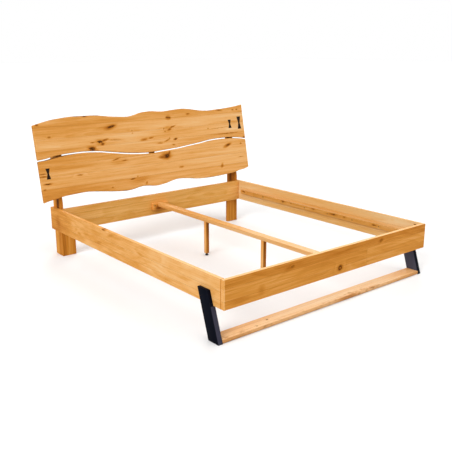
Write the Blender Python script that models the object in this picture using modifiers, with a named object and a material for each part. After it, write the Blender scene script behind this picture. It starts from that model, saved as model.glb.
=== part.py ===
"""Solid wood double bed: live-edge headboard, butt-jointed rails, raked steel foot legs.

Metres, +Z up. X runs across the bed, the foot is at -Y and the head at +Y.
The origin lies on the floor, under the middle of the overall box.
"""
import math

import bmesh
import bpy
from mathutils import Matrix, Vector

# Mattress well and its rails
INNER_WIDTH = 1.812
INNER_LENGTH = 2.012
BOARD = 0.027
RAIL_HEIGHT = 0.178
UNDER_CLEARANCE = 0.211
EDGE_ROUND = 0.002

# Fit between touching pieces, overrun of every cut, and merging distance
GAP = 0.0003
OVERRUN = 0.002
MERGE = 0.00003

# Head legs: a tall upright and a short board form an L
LEG_DEPTH = 0.120
LEG_WIDTH = 0.115
LEG_BOARD_DROP = 0.012
UPRIGHT_SHOULDER = 0.045
UPRIGHT_RISE = 0.470

# Headboard planks and battens; a rise is measured up the slope from the rail-top level
HEADBOARD_LEAN = math.radians(11.1)
HEADBOARD_WIDTH = 2.078
HEADBOARD_RISE = 0.713
PLANK = 0.026
WANE = 0.020
WANE_DEPTH = 0.009
SEAM_GAP = 0.0075
BATTEN_WIDTH = 0.048
BATTEN_THICKNESS = 0.024
BATTEN_START = 0.140
BATTEN_END = 0.640

# Butterfly keys: inset from the plank's end, rise, top width, waist, bottom width and height
KEY_LOWER_LEFT = (0.065, 0.289, 0.034, 0.014, 0.034, 0.083)
KEY_UPPER_RIGHT = (0.055, 0.544, 0.046, 0.018, 0.043, 0.114)
KEY_UPPER_RIGHT_SMALL = (0.169, 0.540, 0.036, 0.015, 0.037, 0.077)
KEY_DEPTH = 0.006

# Slat ledgers, middle beam, its brackets and its square legs
LEDGE_DEPTH = 0.074
LEDGER_HEIGHT = 0.038
LEDGER_THICKNESS = 0.026
LEDGER_END_SPACE = 0.056
BEAM_WIDTH = 0.060
BEAM_HEIGHT = 0.030
BRACKET_WIDTH = 0.160
BRACKET_HEIGHT = 0.056
BRACKET_ROUND = 0.001
CENTER_LEG = 0.030

# Screw-in glides under the square legs, and the studs on top of them
GLIDE_HEIGHT = 0.019
GLIDE_RADIUS = 0.013
GLIDE_NECK_RADIUS = 0.009
GLIDE_PAD = 0.007
GLIDE_ROUND = 0.0015
GLIDE_STEM = 0.036
STUD_RADIUS = 0.004
STUD_IN_BEAM = 0.020
STUD_IN_LEG = 0.030
INSERT_RADIUS = 0.006
INSERT_LENGTH = 0.015

# Steel foot legs with plastic plugs, and the wooden crossbar between them
FOOT_LEG_HEIGHT = 0.301
FOOT_LEG_LENGTH = 0.093
FOOT_LEG_RAKE = math.radians(18.2)
FOOT_LEG_INSET = 0.023
FOOT_LEG_PROUD = 0.0207
FOOT_LEG_THICKNESS = 0.032
STEEL_WALL = 0.003
PLUG_FLANGE = 0.003
PLUG_DEPTH = 0.014
CROSSBAR_WIDTH = 0.100
CROSSBAR_HEIGHT = 0.022
CROSSBAR_WANE = 0.007
TAB_LENGTH = 0.055
TAB_WIDTH = 0.050

# Steel angles in the foot corners
ANGLE_LEAF = 0.050
ANGLE_HEIGHT = 0.054
ANGLE_STEEL = 0.003

# Flange bolts, weld nuts and countersunk screws
BOLT_RADIUS = 0.004
BOLT_HEAD_RADIUS = 0.0075
BOLT_HEAD = 0.004
FLANGE_RADIUS = 0.010
FLANGE = 0.0016
BOLT_BITE = 0.016
NUT_RADIUS = 0.0075
NUT_HEIGHT = 0.0065
LEG_BOLT_SPACING = 0.046
CORNER_BOLT_LENGTH = 0.018
SCREW_RADIUS = 0.0025
SCREW_HEAD_RADIUS = 0.005
SCREW_HEAD = 0.003
SCREW_BITE = 0.016
TAB_SCREW_LENGTH = 0.016

# Ratios and counts
CENTER_LEG_SHARES = {"foot": 1 / 3, "head": 2 / 3}
BOLT_LEVEL_SHARES = {"lower": 0.25, "upper": 0.75}
HEADBOARD_BOLT_SHARES = {"lower": 0.12, "upper": 0.50}
CORNER_BOLT_SHARE = 0.75
SCREW_SIDES = 10
BOLT_SIDES = 12
NUT_SIDES = 6
GLIDE_SIDES = 20
PLANK_STATIONS = 56
CROSSBAR_STATIONS = 20

# Live edges: shares of the half width across, and of the headboard's rise
UPPER_TOP_SHARES = (
    (-1.000, 0.933), (-0.938, 0.954), (-0.860, 0.976), (-0.780, 0.989), (-0.695, 0.998),
    (-0.610, 0.997), (-0.487, 0.993), (-0.400, 0.977), (-0.315, 0.963), (-0.200, 0.953),
    (-0.140, 0.966), (-0.080, 0.987), (0.016, 0.996), (0.133, 0.984), (0.235, 0.993),
    (0.339, 0.999), (0.421, 0.987), (0.526, 0.962), (0.612, 0.953), (0.691, 0.959),
    (0.807, 0.968), (0.925, 0.984), (1.000, 1.000),
)
SEAM_SHARES = (
    (-1.000, 0.558), (-0.943, 0.565), (-0.863, 0.585), (-0.781, 0.597), (-0.657, 0.602),
    (-0.573, 0.598), (-0.488, 0.587), (-0.385, 0.563), (-0.224, 0.528), (-0.046, 0.509),
    (0.112, 0.518), (0.267, 0.531), (0.374, 0.546), (0.483, 0.561), (0.595, 0.581),
    (0.709, 0.587), (0.824, 0.584), (0.940, 0.568), (1.000, 0.552),
)
LOWER_BOTTOM_SHARES = (
    (-1.000, 0.098), (-0.955, 0.112), (-0.898, 0.124), (-0.833, 0.140), (-0.750, 0.147),
    (-0.665, 0.152), (-0.623, 0.150), (-0.538, 0.136), (-0.409, 0.111), (-0.291, 0.097),
    (-0.225, 0.104), (-0.166, 0.119), (-0.100, 0.118), (-0.013, 0.103), (0.083, 0.115),
    (0.151, 0.135), (0.217, 0.146), (0.328, 0.131), (0.401, 0.114), (0.487, 0.105),
    (0.599, 0.104), (0.737, 0.112), (0.832, 0.122), (0.893, 0.139), (0.955, 0.149),
    (1.000, 0.166),
)

# How much of the wane each live edge has along its plank
TOP_WANE_SHARES = ((-1, 0.30), (-0.90, 0.55), (-0.60, 0.30), (0, 0.20), (0.50, 0.35), (1, 0.20))
SEAM_WANE_SHARES = ((-1, 0.45), (-0.90, 1.00), (-0.78, 0.85), (-0.66, 0.30), (0, 0.20), (1, 0.30))
UNDER_WANE_SHARES = ((-1, 0.15), (-0.40, 0.25), (0.20, 0.15), (0.60, 0.30), (1, 0.15))
CROSSBAR_WANE_SHARES = (
    (-1, 0.90), (-0.55, 0.45), (-0.10, 0.30), (0.25, 0.75), (0.60, 0.35), (1, 0.45))

# Heights above the floor
RAIL_TOP = UNDER_CLEARANCE + RAIL_HEIGHT
LEDGE_TOP = RAIL_TOP - LEDGE_DEPTH
BEAM_LOW = LEDGE_TOP - BEAM_HEIGHT
CENTER_LEG_LOW = GLIDE_HEIGHT + GAP

# Places across the bed
INNER_HALF = INNER_WIDTH / 2
OUTER_HALF = INNER_HALF + BOARD
UPRIGHT_OUTER = INNER_HALF - GAP
UPRIGHT_INNER = UPRIGHT_OUTER - BOARD
LEG_INNER = UPRIGHT_OUTER - LEG_WIDTH
HEADBOARD_HALF = HEADBOARD_WIDTH / 2

# The planks' front face crosses the rail-top level this far before the uprights' front edges
PLANE_FORWARD = (
    UPRIGHT_SHOULDER * math.tan(HEADBOARD_LEAN) + (PLANK + GAP) / math.cos(HEADBOARD_LEAN))

# The crest's or the battens' upper back arrises reach this far behind the uprights
CREST_BACK = HEADBOARD_RISE * math.sin(HEADBOARD_LEAN) + PLANK * math.cos(HEADBOARD_LEAN)
BATTEN_BACK = (
    (BATTEN_END - EDGE_ROUND) * math.sin(HEADBOARD_LEAN)
    + (PLANK + GAP + BATTEN_THICKNESS) * math.cos(HEADBOARD_LEAN))
BACK_REACH = max(0, max(CREST_BACK, BATTEN_BACK) - PLANE_FORWARD - LEG_DEPTH)
TOTAL_LENGTH = BOARD + INNER_LENGTH + BOARD + GAP + LEG_DEPTH + BACK_REACH

# Places along the bed, from the foot
FOOT_FACE = -TOTAL_LENGTH / 2
FOOT_INNER = FOOT_FACE + BOARD
HEAD_INNER = FOOT_INNER + INNER_LENGTH
LEG_FRONT = HEAD_INNER + BOARD + GAP
LEG_BACK = LEG_FRONT + LEG_DEPTH

# Finishes: colour, roughness and metallic value
OILED_WOOD = ((0.72, 0.40, 0.14), 0.45, 0.0)
DARK_INLAY = ((0.018, 0.016, 0.016), 0.50, 0.0)
BLACK_COAT = ((0.016, 0.016, 0.020), 0.50, 0.3)
ZINC_PLATE = ((0.55, 0.55, 0.56), 0.35, 0.9)
BLACK_PLASTIC = ((0.014, 0.014, 0.014), 0.55, 0.0)

SIDES = {"left": -1, "right": 1}


def clear_scene():
    """Remove whatever the file holds."""
    for item in list(bpy.data.objects):
        bpy.data.objects.remove(item, do_unlink=True)
    for group in list(bpy.data.collections):
        bpy.data.collections.remove(group)


def new_collection(name):
    """Make a collection under the scene."""
    group = bpy.data.collections.new(name)
    bpy.context.scene.collection.children.link(group)
    return group


clear_scene()
BED = new_collection("solid_wood_bed")
CUTTERS = new_collection("cutters")


def make_material(name, finish):
    """Make a Principled material from a finish."""
    colour, roughness, metallic = finish
    material = bpy.data.materials.new(name)
    material.use_nodes = True
    shader = material.node_tree.nodes["Principled BSDF"]
    shader.inputs["Base Color"].default_value = (*colour, 1)
    shader.inputs["Roughness"].default_value = roughness
    shader.inputs["Metallic"].default_value = metallic
    material.diffuse_color = (*colour, 1)
    return material


def add_part(name, mesh, finish, location=(0, 0, 0), parent=None):
    """Place a mesh as a named part with its own material."""
    part = bpy.data.objects.new(name, mesh)
    BED.objects.link(part)
    part.parent = parent
    part.location = location
    if not mesh.materials:
        mesh.materials.append(None)
    part.material_slots[0].link = "OBJECT"
    part.material_slots[0].material = make_material(name, finish)
    return part


def ease_edges(part, width):
    """Ease the arrises of a sawn piece with one flat bevel."""
    bevel = part.modifiers.new("eased edges", "BEVEL")
    bevel.width = width
    bevel.segments = 1
    bevel.limit_method = "ANGLE"


def box_mesh(name, size):
    """Make a cuboid round its own middle."""
    mesh = bpy.data.meshes.new(name)
    shape = bmesh.new()
    bmesh.ops.create_cube(shape, size=1)
    bmesh.ops.scale(shape, vec=size, verts=shape.verts)
    shape.to_mesh(mesh)
    shape.free()
    return mesh


def add_board(name, low, high, parent=None):
    """Add a sawn board between two corners."""
    low, high = Vector(low), Vector(high)
    part = add_part(name, box_mesh(name, high - low), OILED_WOOD, (low + high) / 2, parent)
    ease_edges(part, EDGE_ROUND)
    return part


def add_side_board(name, sign, across, along, up):
    """Add a board on one side of the bed, from its ranges across, along and up."""
    near, far = sorted(sign * place for place in across)
    return add_board(name, (near, along[0], up[0]), (far, along[1], up[1]))


def take_mesh(guide):
    """Take a guide object's finished mesh, weld it, and remove the guide."""
    bpy.context.scene.collection.objects.link(guide)
    bpy.context.view_layer.update()
    graph = bpy.context.evaluated_depsgraph_get()
    mesh = bpy.data.meshes.new_from_object(guide.evaluated_get(graph))
    mesh.name = guide.name
    bpy.data.objects.remove(guide, do_unlink=True)
    shape = bmesh.new()
    shape.from_mesh(mesh)
    bmesh.ops.remove_doubles(shape, verts=shape.verts, dist=MERGE)
    bmesh.ops.dissolve_limit(
        shape, angle_limit=math.radians(0.5), verts=shape.verts, edges=shape.edges)
    shape.to_mesh(mesh)
    shape.free()
    return mesh


def outline_mesh(name, points, thickness):
    """Fill a flat outline and give it a thickness, half to each side of its plane."""
    curve = bpy.data.curves.new(name, "CURVE")
    curve.dimensions = "2D"
    curve.fill_mode = "BOTH"
    curve.extrude = thickness / 2
    spline = curve.splines.new("POLY")
    spline.points.add(len(points) - 1)
    for point, (across, up) in zip(spline.points, points):
        point.co = (across, up, 0, 1)
    spline.use_cyclic_u = True
    return take_mesh(bpy.data.objects.new(name, curve))


def turned_mesh(name, profile, sides):
    """Turn a profile of radius and height, from its top to its bottom, round the Z axis."""
    mesh = bpy.data.meshes.new(name)
    points = [(radius, 0, height) for radius, height in profile]
    links = [(index, index + 1) for index in range(len(points) - 1)]
    mesh.from_pydata(points, links, [])
    guide = bpy.data.objects.new(name, mesh)
    screw = guide.modifiers.new("turn", "SCREW")
    screw.axis = "Z"
    screw.angle = math.tau
    screw.steps = sides
    screw.render_steps = sides
    screw.use_merge_vertices = True
    screw.merge_threshold = MERGE
    turned = take_mesh(guide)
    turned.shade_smooth()
    turned.set_sharp_from_angle(angle=math.radians(50))
    return turned


def joined_mesh(name, pieces):
    """Join meshes, each with its place, into one cutting shape."""
    mesh = bpy.data.meshes.new(name)
    shape = bmesh.new()
    for source, place in pieces:
        start = len(shape.verts)
        shape.from_mesh(source)
        shape.verts.ensure_lookup_table()
        bmesh.ops.transform(shape, matrix=place, verts=shape.verts[start:])
    shape.to_mesh(mesh)
    shape.free()
    return mesh


def cut(part, name, pieces, operation="DIFFERENCE"):
    """Cut meshes, placed in world space, out of a part, or add them to it."""
    cutter = bpy.data.objects.new(name, joined_mesh(name, pieces))
    CUTTERS.objects.link(cutter)
    cutter.hide_render = True
    cutter.display_type = "WIRE"
    boolean = part.modifiers.new(name, "BOOLEAN")
    boolean.operation = operation
    boolean.solver = "EXACT"
    boolean.object = cutter


# Holes and pockets wait here, by part name, until all are known
HOLES = {}


def drill(names, mesh, place):
    """Note one hole in each of the named parts."""
    for name in names:
        HOLES.setdefault(name, []).append((mesh, place))


def pointing(place, direction):
    """Set a fastener's seat at a place, with its head facing a direction."""
    turn = Vector(direction).to_track_quat("Z", "Y").to_matrix().to_4x4()
    return Matrix.Translation(Vector(place)) @ turn


def fasten(name, fastener, place, through):
    """Add one fastener and note its hole in the parts that it passes through."""
    mesh, hole = fastener
    part = add_part(name, mesh, ZINC_PLATE)
    part.matrix_world = place
    drill(through, hole, place)


def pin_profile(radius, top, bottom):
    """Profile of a plain pin."""
    return [(0, top), (radius, top), (radius, bottom), (0, bottom)]


def bolt_and_hole(name, length, beyond=GAP):
    """A button-head flange bolt that seats at z = 0, and the cutter for its hole."""
    flange_top = GAP + FLANGE
    crown = flange_top + BOLT_HEAD
    profile = [
        (0, crown), (BOLT_HEAD_RADIUS / 2, crown), (BOLT_HEAD_RADIUS, flange_top + BOLT_HEAD / 3),
        (BOLT_HEAD_RADIUS, flange_top), (FLANGE_RADIUS, flange_top), (FLANGE_RADIUS, GAP),
        (BOLT_RADIUS, GAP), (BOLT_RADIUS, -length), (0, -length),
    ]
    bolt = turned_mesh(name, profile, BOLT_SIDES)
    hole = turned_mesh(
        name + "_hole", pin_profile(BOLT_RADIUS + GAP, OVERRUN, -length - beyond), BOLT_SIDES)
    return bolt, hole


def screw_and_hole(name, length):
    """A countersunk screw with its head flush at z = 0, and the cutter for its hole."""
    profile = [
        (0, 0), (SCREW_HEAD_RADIUS, 0), (SCREW_RADIUS, -SCREW_HEAD),
        (SCREW_RADIUS, -length + SCREW_HEAD), (0, -length),
    ]
    screw = turned_mesh(name, profile, SCREW_SIDES)
    head, shank = SCREW_HEAD_RADIUS + GAP, SCREW_RADIUS + GAP
    profile = [
        (0, OVERRUN), (head, OVERRUN), (head, 0), (shank, -SCREW_HEAD), (shank, -length), (0, -length - GAP),
    ]
    return screw, turned_mesh(name + "_hole", profile, SCREW_SIDES)


def smooth_through(points, across):
    """Read a smooth curve through chosen points, with slopes taken from their neighbours."""
    last = len(points) - 1
    index = 0
    while index < last - 1 and across > points[index + 1][0]:
        index += 1
    (near, start), (far, end) = points[index], points[index + 1]

    def slope(at):
        before, after = points[max(0, at - 1)], points[min(last, at + 1)]
        return (after[1] - before[1]) / (after[0] - before[0])

    span = far - near
    share = min(1, max(0, (across - near) / span))
    leaving = (1 + 2 * share) * (1 - share) ** 2 * start + share * (1 - share) ** 2 * span * slope(index)
    arriving = share ** 2 * (3 - 2 * share) * end + share ** 2 * (share - 1) * span * slope(index + 1)
    return leaving + arriving


def lofted_mesh(name, sections):
    """Skin a row of rings of points and close both ends."""
    shape = bmesh.new()
    rings = [[shape.verts.new(point) for point in section] for section in sections]
    count = len(rings[0])
    for first, second in zip(rings, rings[1:]):
        for index in range(count):
            after = (index + 1) % count
            shape.faces.new((first[index], first[after], second[after], second[index]))
    shape.faces.new(reversed(rings[0]))
    shape.faces.new(rings[-1])
    bmesh.ops.recalc_face_normals(shape, faces=shape.faces)
    mesh = bpy.data.meshes.new(name)
    shape.to_mesh(mesh)
    shape.free()
    return mesh


# An outline drawn in X and Y stands up: on its side across the bed, or facing along it
ALONG_AND_UP = Matrix(((0, 0, 1, 0), (1, 0, 0, 0), (0, 1, 0, 0), (0, 0, 0, 1)))
ACROSS_AND_UP = Matrix(((1, 0, 0, 0), (0, 0, -1, 0), (0, 1, 0, 0), (0, 0, 0, 1)))


def standing_mesh(name, points, thickness, way):
    """Fill an outline and stand it up."""
    mesh = outline_mesh(name, points, thickness)
    mesh.transform(way)
    return mesh


# Side rails run the full length, past the head rail and the head legs; the foot board covers their ends
RAIL_LEVELS = (UNDER_CLEARANCE, RAIL_TOP)
for side, sign in SIDES.items():
    add_side_board(
        "side_rail_" + side, sign, (INNER_HALF, OUTER_HALF), (FOOT_INNER + GAP, LEG_BACK), RAIL_LEVELS)
add_board("foot_board", (-OUTER_HALF, FOOT_FACE, UNDER_CLEARANCE), (OUTER_HALF, FOOT_INNER, RAIL_TOP))
add_board(
    "head_rail", (-UPRIGHT_OUTER, HEAD_INNER, UNDER_CLEARANCE), (UPRIGHT_OUTER, LEG_FRONT - GAP, RAIL_TOP))

# Head legs: the upright's back edge is plumb, its front edge turns back at the shoulder
upright_top = RAIL_TOP + UPRIGHT_RISE
taper = (UPRIGHT_RISE - UPRIGHT_SHOULDER) * math.tan(HEADBOARD_LEAN)
upright_outline = (
    (LEG_FRONT, 0), (LEG_BACK, 0), (LEG_BACK, upright_top), (LEG_FRONT + taper, upright_top),
    (LEG_FRONT, RAIL_TOP + UPRIGHT_SHOULDER),
)
for side, sign in SIDES.items():
    mesh = standing_mesh("upright", upright_outline, BOARD, ALONG_AND_UP)
    middle = sign * (UPRIGHT_OUTER + UPRIGHT_INNER) / 2
    ease_edges(add_part("upright_" + side, mesh, OILED_WOOD, (middle, 0, 0)), EDGE_ROUND)
    add_side_board(
        "leg_board_" + side, sign, (LEG_INNER, UPRIGHT_INNER - GAP), (LEG_FRONT, LEG_FRONT + BOARD),
        (0, RAIL_TOP - LEG_BOARD_DROP))

# Headboard frame: X across, Z up the slope from the rail-top level, Y into the planks
headboard = bpy.data.objects.new("headboard_plane", None)
BED.objects.link(headboard)
headboard.location = (0, LEG_FRONT - PLANE_FORWARD, RAIL_TOP)
headboard.rotation_euler = (-HEADBOARD_LEAN, 0, 0)
bpy.context.view_layer.update()
LEANING = headboard.matrix_world.copy()


def seam(share):
    """Rise of the upper plank's lower edge."""
    return HEADBOARD_RISE * smooth_through(SEAM_SHARES, share)


def lower_top(share):
    """Rise of the lower plank's upper edge: it follows the upper plank at an even gap."""
    return seam(share) - SEAM_GAP


def upper_top(share):
    """Rise of the upper plank's crest."""
    return HEADBOARD_RISE * smooth_through(UPPER_TOP_SHARES, share)


def lower_bottom(share):
    """Rise of the lower plank's lower edge."""
    return HEADBOARD_RISE * smooth_through(LOWER_BOTTOM_SHARES, share)


def add_plank(name, bottom, top, bottom_wane, top_wane):
    """Loft a live-edge plank between its two edge curves, with waney front arrises."""
    sections = []
    for station in range(PLANK_STATIONS + 1):
        share = 2 * station / PLANK_STATIONS - 1
        across = share * HEADBOARD_HALF
        low, high = bottom(share), top(share)
        low_wane = WANE * smooth_through(bottom_wane, share)
        high_wane = WANE * smooth_through(top_wane, share)
        sections.append((
            (across, 0, low + low_wane), (across, WANE_DEPTH, low), (across, PLANK, low),
            (across, PLANK, high), (across, WANE_DEPTH, high), (across, 0, high - high_wane),
        ))
    add_part(name, lofted_mesh(name, sections), OILED_WOOD, parent=headboard)


add_plank("headboard_plank_upper", seam, upper_top, UNDER_WANE_SHARES, TOP_WANE_SHARES)
add_plank("headboard_plank_lower", lower_bottom, lower_top, UNDER_WANE_SHARES, SEAM_WANE_SHARES)

# Battens behind the planks: two against the uprights, one in the middle
batten_front = PLANK + GAP
batten_offset = UPRIGHT_INNER - GAP - BATTEN_WIDTH / 2
for side, middle in {"left": -batten_offset, "center": 0, "right": batten_offset}.items():
    low = (middle - BATTEN_WIDTH / 2, batten_front, BATTEN_START)
    high = (middle + BATTEN_WIDTH / 2, batten_front + BATTEN_THICKNESS, BATTEN_END)
    add_board("batten_" + side, low, high, headboard)


# Butterfly keys let in flush across the cracks at the planks' ends
def key_mesh(name, key, play, thickness):
    """A key's bow-tie outline, with play all round for its pocket."""
    top, waist, bottom = (width / 2 + play for width in key[2:5])
    rise = key[5] / 2 + play
    outline = ((-bottom, -rise), (bottom, -rise), (waist, 0), (top, rise), (-top, rise), (-waist, 0))
    return standing_mesh(name, outline, thickness, ACROSS_AND_UP)


for name, side, key, plank in (
        ("key_lower_left", "left", KEY_LOWER_LEFT, "headboard_plank_lower"),
        ("key_upper_right", "right", KEY_UPPER_RIGHT, "headboard_plank_upper"),
        ("key_upper_right_small", "right", KEY_UPPER_RIGHT_SMALL, "headboard_plank_upper")):
    across = SIDES[side] * (HEADBOARD_HALF - key[0])
    rise = key[1]
    add_part(name, key_mesh(name, key, 0, KEY_DEPTH), DARK_INLAY, (across, KEY_DEPTH / 2, rise), headboard)
    pocket = key_mesh(name + "_pocket", key, GAP, KEY_DEPTH + GAP + OVERRUN)
    pocket_middle = Matrix.Translation((across, (KEY_DEPTH + GAP - OVERRUN) / 2, rise))
    drill((plank,), pocket, LEANING @ pocket_middle)

# Ledgers on the side rails carry the slats
ledger_face = UPRIGHT_OUTER - LEDGER_THICKNESS
for side, sign in SIDES.items():
    add_side_board(
        "ledger_" + side, sign, (ledger_face, UPRIGHT_OUTER),
        (FOOT_INNER + LEDGER_END_SPACE, HEAD_INNER - LEDGER_END_SPACE),
        (LEDGE_TOP - LEDGER_HEIGHT, LEDGE_TOP))

# Middle beam, let into a notched bracket at each end
add_board(
    "center_beam", (-BEAM_WIDTH / 2, FOOT_INNER + GAP, BEAM_LOW),
    (BEAM_WIDTH / 2, HEAD_INNER - GAP, LEDGE_TOP))
bracket_half = BRACKET_WIDTH / 2
bracket_low = LEDGE_TOP - BRACKET_HEIGHT
notch_half = BEAM_WIDTH / 2 + GAP
notch_floor = BEAM_LOW - GAP
bracket_outline = (
    (-bracket_half, bracket_low), (bracket_half, bracket_low), (bracket_half, LEDGE_TOP),
    (notch_half, LEDGE_TOP), (notch_half, notch_floor), (-notch_half, notch_floor),
    (-notch_half, LEDGE_TOP), (-bracket_half, LEDGE_TOP),
)
bracket_middles = {"head": HEAD_INNER - GAP - BOARD / 2, "foot": FOOT_INNER + GAP + BOARD / 2}
for end, middle in bracket_middles.items():
    mesh = standing_mesh("beam_bracket", bracket_outline, BOARD, ACROSS_AND_UP)
    ease_edges(add_part("beam_bracket_" + end, mesh, OILED_WOOD, (0, middle, 0)), BRACKET_ROUND)

# Square legs under the beam: a stud joins each to the beam, a glide screws into its insert
glide_profile = [
    (0, GLIDE_HEIGHT + GLIDE_STEM), (STUD_RADIUS, GLIDE_HEIGHT + GLIDE_STEM), (STUD_RADIUS, GLIDE_HEIGHT),
    (GLIDE_NECK_RADIUS, GLIDE_HEIGHT), (GLIDE_NECK_RADIUS, GLIDE_PAD), (GLIDE_RADIUS, GLIDE_PAD),
    (GLIDE_RADIUS, GLIDE_ROUND), (GLIDE_RADIUS - GLIDE_ROUND, 0), (0, 0),
]
glide_mesh = turned_mesh("glide", glide_profile, GLIDE_SIDES)
bore = STUD_RADIUS + GAP
insert_profile = [
    (bore, 0), (INSERT_RADIUS, 0), (INSERT_RADIUS, -INSERT_LENGTH), (bore, -INSERT_LENGTH), (bore, 0),
]
insert_mesh = turned_mesh("glide_insert", insert_profile, BOLT_SIDES)
insert_top = CENTER_LEG_LOW + INSERT_LENGTH
stem_top = GLIDE_HEIGHT + GLIDE_STEM + GAP
well_profile = [
    (0, stem_top), (bore, stem_top), (bore, insert_top + GAP), (INSERT_RADIUS + GAP, insert_top + GAP),
    (INSERT_RADIUS + GAP, CENTER_LEG_LOW - OVERRUN), (0, CENTER_LEG_LOW - OVERRUN),
]
well_mesh = turned_mesh("glide_well", well_profile, BOLT_SIDES)
stud_mesh = turned_mesh("beam_stud", pin_profile(STUD_RADIUS, STUD_IN_BEAM, -STUD_IN_LEG), BOLT_SIDES)
stud_hole = turned_mesh(
    "beam_stud_hole", pin_profile(bore, STUD_IN_BEAM + GAP, -STUD_IN_LEG - GAP), BOLT_SIDES)
leg_half = CENTER_LEG / 2
for end, share in CENTER_LEG_SHARES.items():
    along = FOOT_INNER + INNER_LENGTH * share
    add_board(
        "center_leg_" + end, (-leg_half, along - leg_half, CENTER_LEG_LOW),
        (leg_half, along + leg_half, BEAM_LOW - GAP))
    add_part("glide_" + end, glide_mesh, BLACK_PLASTIC, (0, along, 0))
    add_part("glide_insert_" + end, insert_mesh, ZINC_PLATE, (0, along, insert_top))
    fasten(
        "beam_stud_" + end, (stud_mesh, stud_hole), Matrix.Translation((0, along, BEAM_LOW)),
        ("center_beam", "center_leg_" + end))
    drill(("center_leg_" + end,), well_mesh, Matrix.Translation((0, along, 0)))

# Steel foot legs: a raked tube whose upper inner side is cut back to lie on the rail's outer face
leg_low = PLUG_FLANGE + GAP
leg_front = FOOT_FACE + FOOT_LEG_INSET
leg_middle = leg_front + FOOT_LEG_LENGTH / 2
leg_outer = OUTER_HALF + FOOT_LEG_PROUD
leg_inner = leg_outer - FOOT_LEG_THICKNESS
rail_face = OUTER_HALF + GAP
step_height = UNDER_CLEARANCE - GAP
wall_along = STEEL_WALL / math.cos(FOOT_LEG_RAKE)
RAKED = Matrix(((1, 0, 0, 0), (0, 1, math.tan(FOOT_LEG_RAKE), 0), (0, 0, 1, 0), (0, 0, 0, 1)))


def raked_mesh(name, sign, outline, length):
    """Stand an outline of the leg across the bed, give it its length along, and rake it."""
    mirrored = [(sign * across, up) for across, up in outline]
    mesh = standing_mesh(name, mirrored, length, ACROSS_AND_UP)
    mesh.transform(RAKED)
    return mesh


def rectangle(near, far, low, high):
    """Corners of a rectangle across and up."""
    return ((near, low), (far, low), (far, high), (near, high))


tube_outline = (
    (leg_inner, leg_low), (leg_outer, leg_low), (leg_outer, FOOT_LEG_HEIGHT), (rail_face, FOOT_LEG_HEIGHT),
    (rail_face, step_height), (leg_inner, step_height),
)
room_outline = (
    (leg_inner + STEEL_WALL, leg_low - OVERRUN), (leg_outer - STEEL_WALL, leg_low - OVERRUN),
    (leg_outer - STEEL_WALL, FOOT_LEG_HEIGHT - STEEL_WALL),
    (rail_face + STEEL_WALL, FOOT_LEG_HEIGHT - STEEL_WALL),
    (rail_face + STEEL_WALL, step_height - STEEL_WALL), (leg_inner + STEEL_WALL, step_height - STEEL_WALL),
)
ledger_low = LEDGE_TOP - LEDGER_HEIGHT
leg_bolt_height = (ledger_low + UNDER_CLEARANCE) / 2
leg_bolt_middle = leg_middle + leg_bolt_height * math.tan(FOOT_LEG_RAKE)
leg_bolt_rows = {
    "front": leg_bolt_middle - LEG_BOLT_SPACING / 2, "back": leg_bolt_middle + LEG_BOLT_SPACING / 2}
nut_mesh = turned_mesh("weld_nut", pin_profile(NUT_RADIUS, OVERRUN / 2, -NUT_HEIGHT), NUT_SIDES)
tab_mesh = box_mesh("tab", (TAB_LENGTH + OVERRUN / 2, TAB_WIDTH, STEEL_WALL))
tab_across = leg_inner - (TAB_LENGTH - OVERRUN / 2) / 2
on_middle = Matrix.Translation((0, leg_middle, 0))
for side, sign in SIDES.items():
    mesh = raked_mesh("foot_leg", sign, tube_outline, FOOT_LEG_LENGTH)
    leg = add_part("foot_leg_" + side, mesh, BLACK_COAT, (0, leg_middle, 0))
    room = raked_mesh("tube_room", sign, room_outline, FOOT_LEG_LENGTH - 2 * wall_along)
    cut(leg, "tube_room_" + side, [(room, on_middle)])
    tab_place = Matrix.Translation((sign * tab_across, leg_middle, leg_low + STEEL_WALL / 2))
    cut(leg, "tab_" + side, [(tab_mesh, tab_place)], "UNION")
    wall_face = sign * (rail_face + STEEL_WALL)
    cut(leg, "weld_nuts_" + side, [
        (nut_mesh, pointing((wall_face, along, leg_bolt_height), (-sign, 0, 0)))
        for along in leg_bolt_rows.values()], "UNION")

# Plastic plugs close the tubes' lower ends
flange_outline = rectangle(leg_inner, leg_outer, 0, PLUG_FLANGE)
stopper_outline = rectangle(
    leg_inner + STEEL_WALL + GAP, leg_outer - STEEL_WALL - GAP, PLUG_FLANGE / 2, PLUG_FLANGE + PLUG_DEPTH)
for side, sign in SIDES.items():
    flange = raked_mesh("plug_flange", sign, flange_outline, FOOT_LEG_LENGTH)
    plug = add_part("foot_leg_plug_" + side, flange, BLACK_PLASTIC, (0, leg_middle, 0))
    stopper = raked_mesh("stopper", sign, stopper_outline, FOOT_LEG_LENGTH - 2 * (wall_along + GAP))
    cut(plug, "stopper_" + side, [(stopper, on_middle)], "UNION")

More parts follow.
